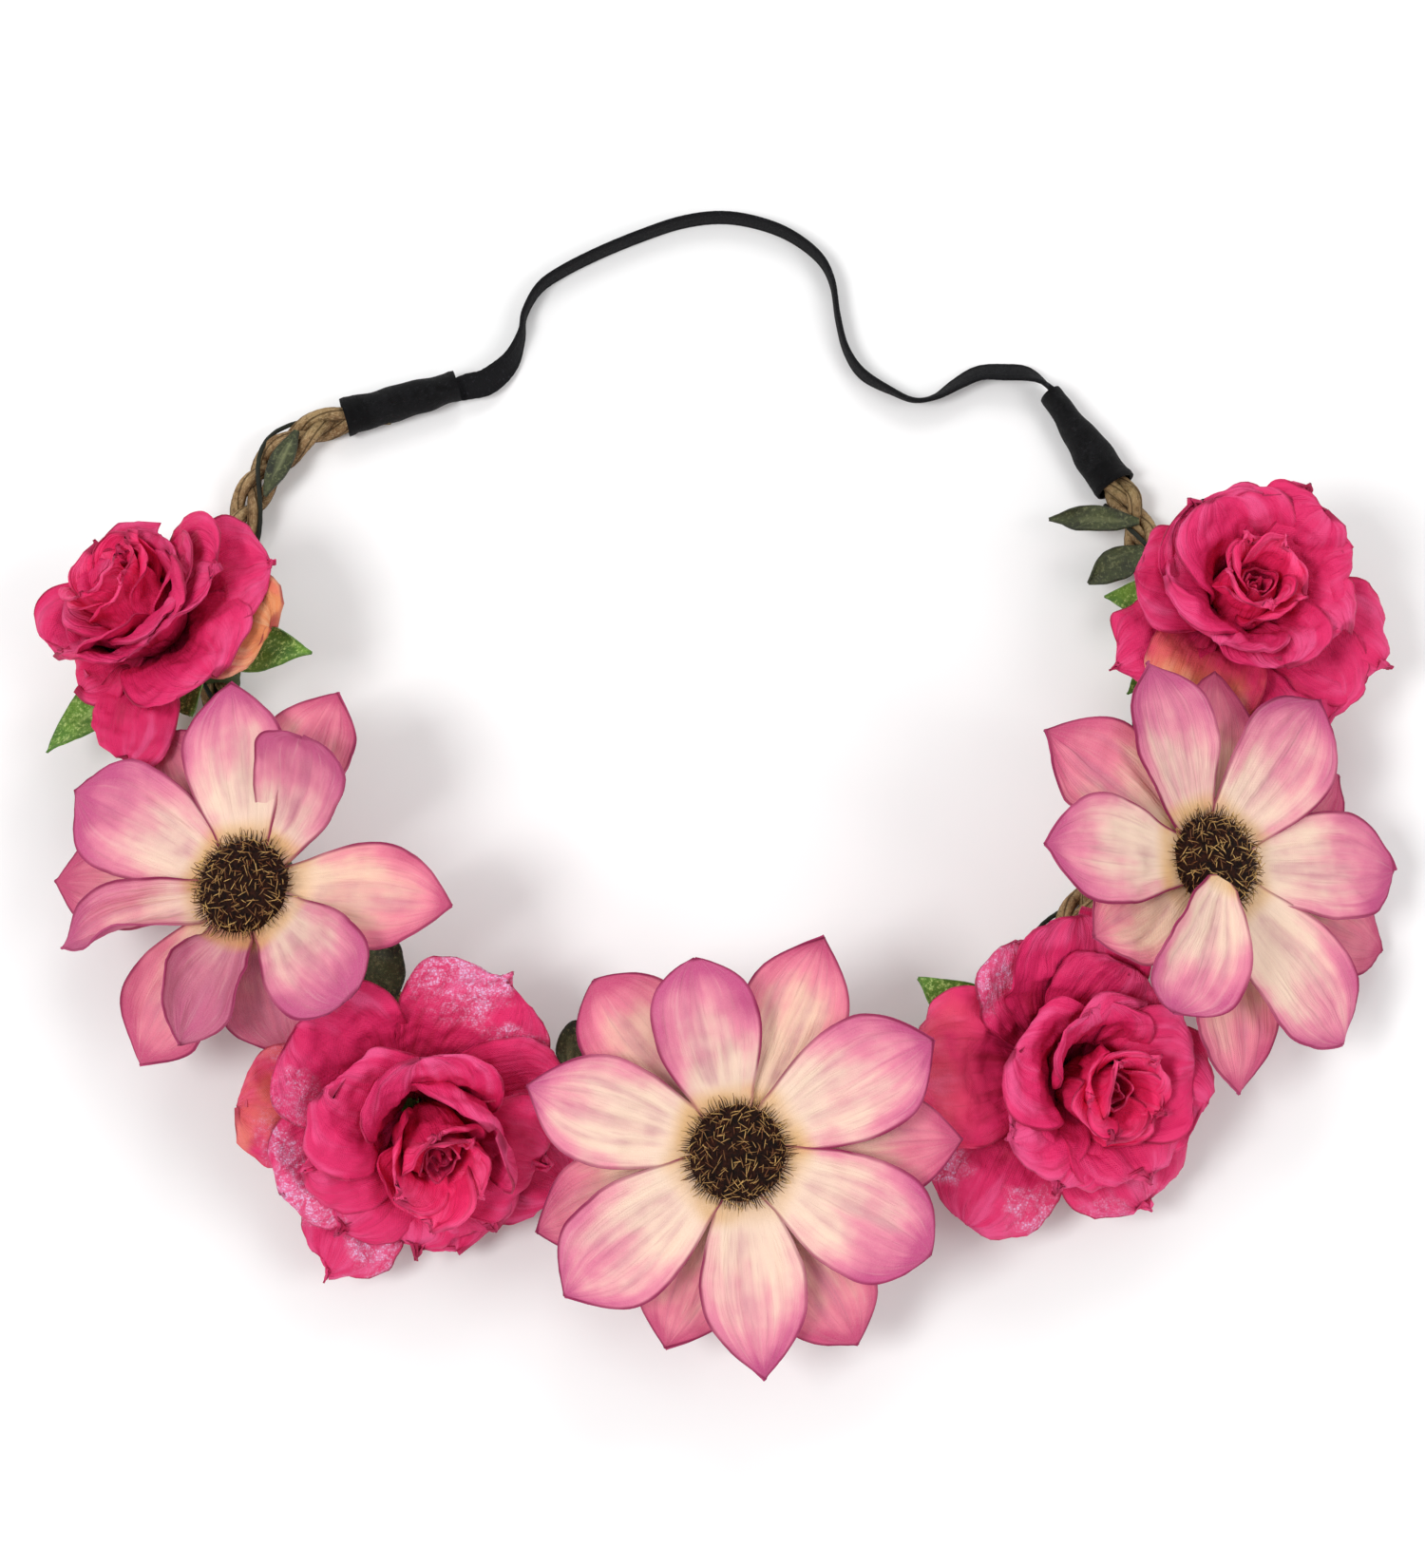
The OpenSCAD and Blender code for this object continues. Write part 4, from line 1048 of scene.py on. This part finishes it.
def make_rose(name):
    here = flower_matrix(*ROSES[name])
    size, (lean, toward, shift), outer, middle = ROSE_LOOK[name]
    tip_over = leaning(lean, toward)
    heart = here @ shifted(shift) @ tip_over
    half = here @ shifted(Vector(shift) * 0.6) @ tip_over.lerp(Matrix.Identity(4), 0.35)
    seed = 1000 + 100 * list(ROSES).index(name)
    rng = np.random.default_rng(seed)
    whorls = {"outer": [], "middle": [], "inner": []}
    for k, row in enumerate(outer):
        given = {"z0": 1.5 + 0.3 * (k % 2), "hug": 0.4, "offset": 0.6, "tone": rng.uniform(0, 1)}
        whorls["outer"].append(rose_petal(here, seed=seed + k, **{**given, **row}))
    for k, row in enumerate(middle):
        sized = {"length": row["length"] * size, "width": row["width"] * size}
        sized["az"] = row["az"] + rng.uniform(-5, 5)
        given = {"z0": 2.6, "hug": 0.75, "offset": 0.9, "roll": (-60, -40), "tone": rng.uniform(0, 1)}
        whorls["middle"].append(rose_petal(half, seed=seed + 20 + k, **{**given, **row, **sized}))
    for k in range(5):
        whorls["inner"].append(rose_petal(
            heart, climbs=INNER_CLIMBS + rng.uniform(-7, 7, 5), az=50 + 72 * k + rng.uniform(-14, 14),
            length=rng.uniform(18.0, 21.0) * size, width=9.0 * size, z0=3.5, hug=0.9, offset=0.9,
            roll=(-70, -20), crumple=0.6, ripple=1.0, beak=1.5, tone=rng.uniform(0, 1), seed=seed + 40 + k,
        ))
    for layer, parts in whorls.items():
        slot = "rose_inner" if layer == "inner" else "rose_outer"
        place(f"{name}_{layer}_whorl", parts, name, f"{name}_{layer}_petals", slot)
    make_bud(name, heart, size, seed)
    make_sepals(name, here, seed)
    make_calyx(name, here, *ROSE_CALYX)
    make_stem(name, here, ROSE_CALYX[0])


# The two sheets of a bud: where each starts, its turns, inner and outer radius, and height
BUD_SHEETS = [(0.0, 1.7, 0.7, 3.4, 16.5), (2.4, 1.35, 3.0, 5.2, 17.5)]
BUD_FOOT = 4.0


def make_bud(name, here, size, seed):
    """The rose's heart: two sheets rolled round each other, their top edges waved and turned in."""
    rng = np.random.default_rng(seed + 60)
    u, v = np.linspace(0, 1, 25)[:, None], np.linspace(0, 1, 70)[None, :]
    belly = 0.55 + 0.45 * np.sin(np.clip(u * 1.25, 0, 1) * math.pi / 2) - 0.3 * smoothstep(0.72, 1.0, u)
    fade = smoothstep(0, 0.08, v) * smoothstep(1.0, 0.9, v)
    parts = []
    for sheet, (start, turns, inner_r, outer_r, high) in enumerate(BUD_SHEETS):
        phases = rng.uniform(0, 6.28, 3)
        turn = start + v * turns * TURN
        flare = 0.55 * smoothstep(0.86, 1.0, u) * (0.4 + 0.6 * np.sin(2.2 * turn + phases[0]))
        top = (high + 0.9 * np.sin(2.5 * turn + phases[1]) + 0.5 * np.sin(5 * turn + phases[2])) * size
        reach = ((inner_r + (outer_r - inner_r) * v) * belly + flare) * size
        height = BUD_FOOT + (top - BUD_FOOT) * u**0.9 * (0.8 + 0.2 * fade)
        grid = np.stack([reach * np.cos(turn), reach * np.sin(turn), height], axis=-1)
        values = {
            # along also sets the rose material's painted shade, darker towards the foot of the sheets.
            "along": 0.15 + 0.75 * u, "across": turn * 0.8, "edge": (1 - u) * high, "tone": 0.3 + 0.4 * sheet,
            "cloth": flat_map(turn * 0.4, u * 1.7),
        }
        parts.append(sheet_part(grid, 0.34, values).moved(here))
    place(f"{name}_rolled_heart", parts, name, f"{name}_bud", "rose_inner")


def make_sepals(name, here, seed):
    parts = []
    for k, (az, length, width) in enumerate(SEPALS[name]):
        parts.append(petal_part(
            az=az, r0=1.8, z0=0.55 + 0.1 * (k % 2), length=length, width=width, climbs=(-4, 2, 8), cup=18,
            fold=0.35, ripple=0.35, base=0.35, widest=0.45, tip=0.95, point=1.0, thick=0.4, rows=24, cols=14,
            seed=seed + 80 + k,
        ).moved(here))
    place(f"{name}_leafy_sepals", parts, name, f"{name}_sepals", "sepal")


# --- leaves on the garland wire ---

# Leaf: base point, heading, length, half width, climb, tip shape
LEAVES = {
    "left_woven_leaf": ((-73.2, 39.3, 6.4), 247, 14, 2.1, 2, 0.9),
    "low_left_leaf": ((-55, -71, 7.6), 90, 14, 3.7, 12, 0.5),
    "low_middle_leaf": ((-21.5, -83, 7.6), 88, 10, 3.2, 10, 0.55),
    "right_lance_leaf": ((80.2, 21.2, 7.4), 180, 16.5, 2.6, 5, 1.0),
    "right_pointed_leaf": ((81, 16, 7.4), 214, 12.5, 3.1, 4, 1.0),
}


def make_leaves():
    for k, (name, (base, heading, length, width, climb, tip)) in enumerate(LEAVES.items()):
        part = petal_part(
            r0=0, length=length, width=width, climbs=(climb + 6, climb, climb - 8), cup=22, fold=0.3,
            ripple=0.3, base=0.25, widest=0.5, tip=tip, point=1.1, thick=0.4, rows=24, cols=14, seed=300 + k,
        )
        place(f"{name}_blade", [part.moved(shifted(base) @ turned(heading))], "root", name, "dark_leaf")


# --- stage ---

FLOOR_HALF = 3.0
# Area lights: name, place in metres, power in watts, size in metres
LIGHTS = [
    ("key", (-0.9, -0.6, 1.8), 19.0, 0.6),
    ("fill", (1.3, -0.6, 1.7), 10.0, 0.9),
    ("back", (0.2, 1.4, 1.6), 8.0, 0.9),
]


def make_stage():
    mesh = bpy.data.meshes.new("floor")
    corners = [(x * FLOOR_HALF, y * FLOOR_HALF, 0) for x, y in ((-1, -1), (1, -1), (1, 1), (-1, 1))]
    mesh.from_pydata(corners, [], [(0, 1, 2, 3)])
    mesh.materials.append(floor_material())
    add_object("floor", mesh)
    world = bpy.data.worlds.new("studio")
    world.use_nodes = True
    world.node_tree.nodes["Background"].inputs["Color"].default_value = (1.0, 1.0, 1.0, 1)
    world.node_tree.nodes["Background"].inputs["Strength"].default_value = 0.6
    bpy.context.scene.world = world
    for name, spot, energy, size in LIGHTS:
        data = bpy.data.lights.new(name, "AREA")
        data.energy = energy
        data.size = size
        light = add_object(name, data)
        light.location = spot
        light.rotation_euler = (-Vector(spot)).to_track_quat("-Z", "Y").to_euler()


make_camera()
make_elastic()
make_plait()
make_wire()
make_tapes()
make_sleeve("left_sleeve", 146.5, 17, 3.5, 3.0, 0.92, 21)
make_sleeve("right_sleeve", 381, 122, 3.9, 3.0, 0.66, 22)
make_leaves()
for daisy in DAISIES:
    make_daisy(daisy)
for rose in ROSES:
    make_rose(rose)
make_stage()
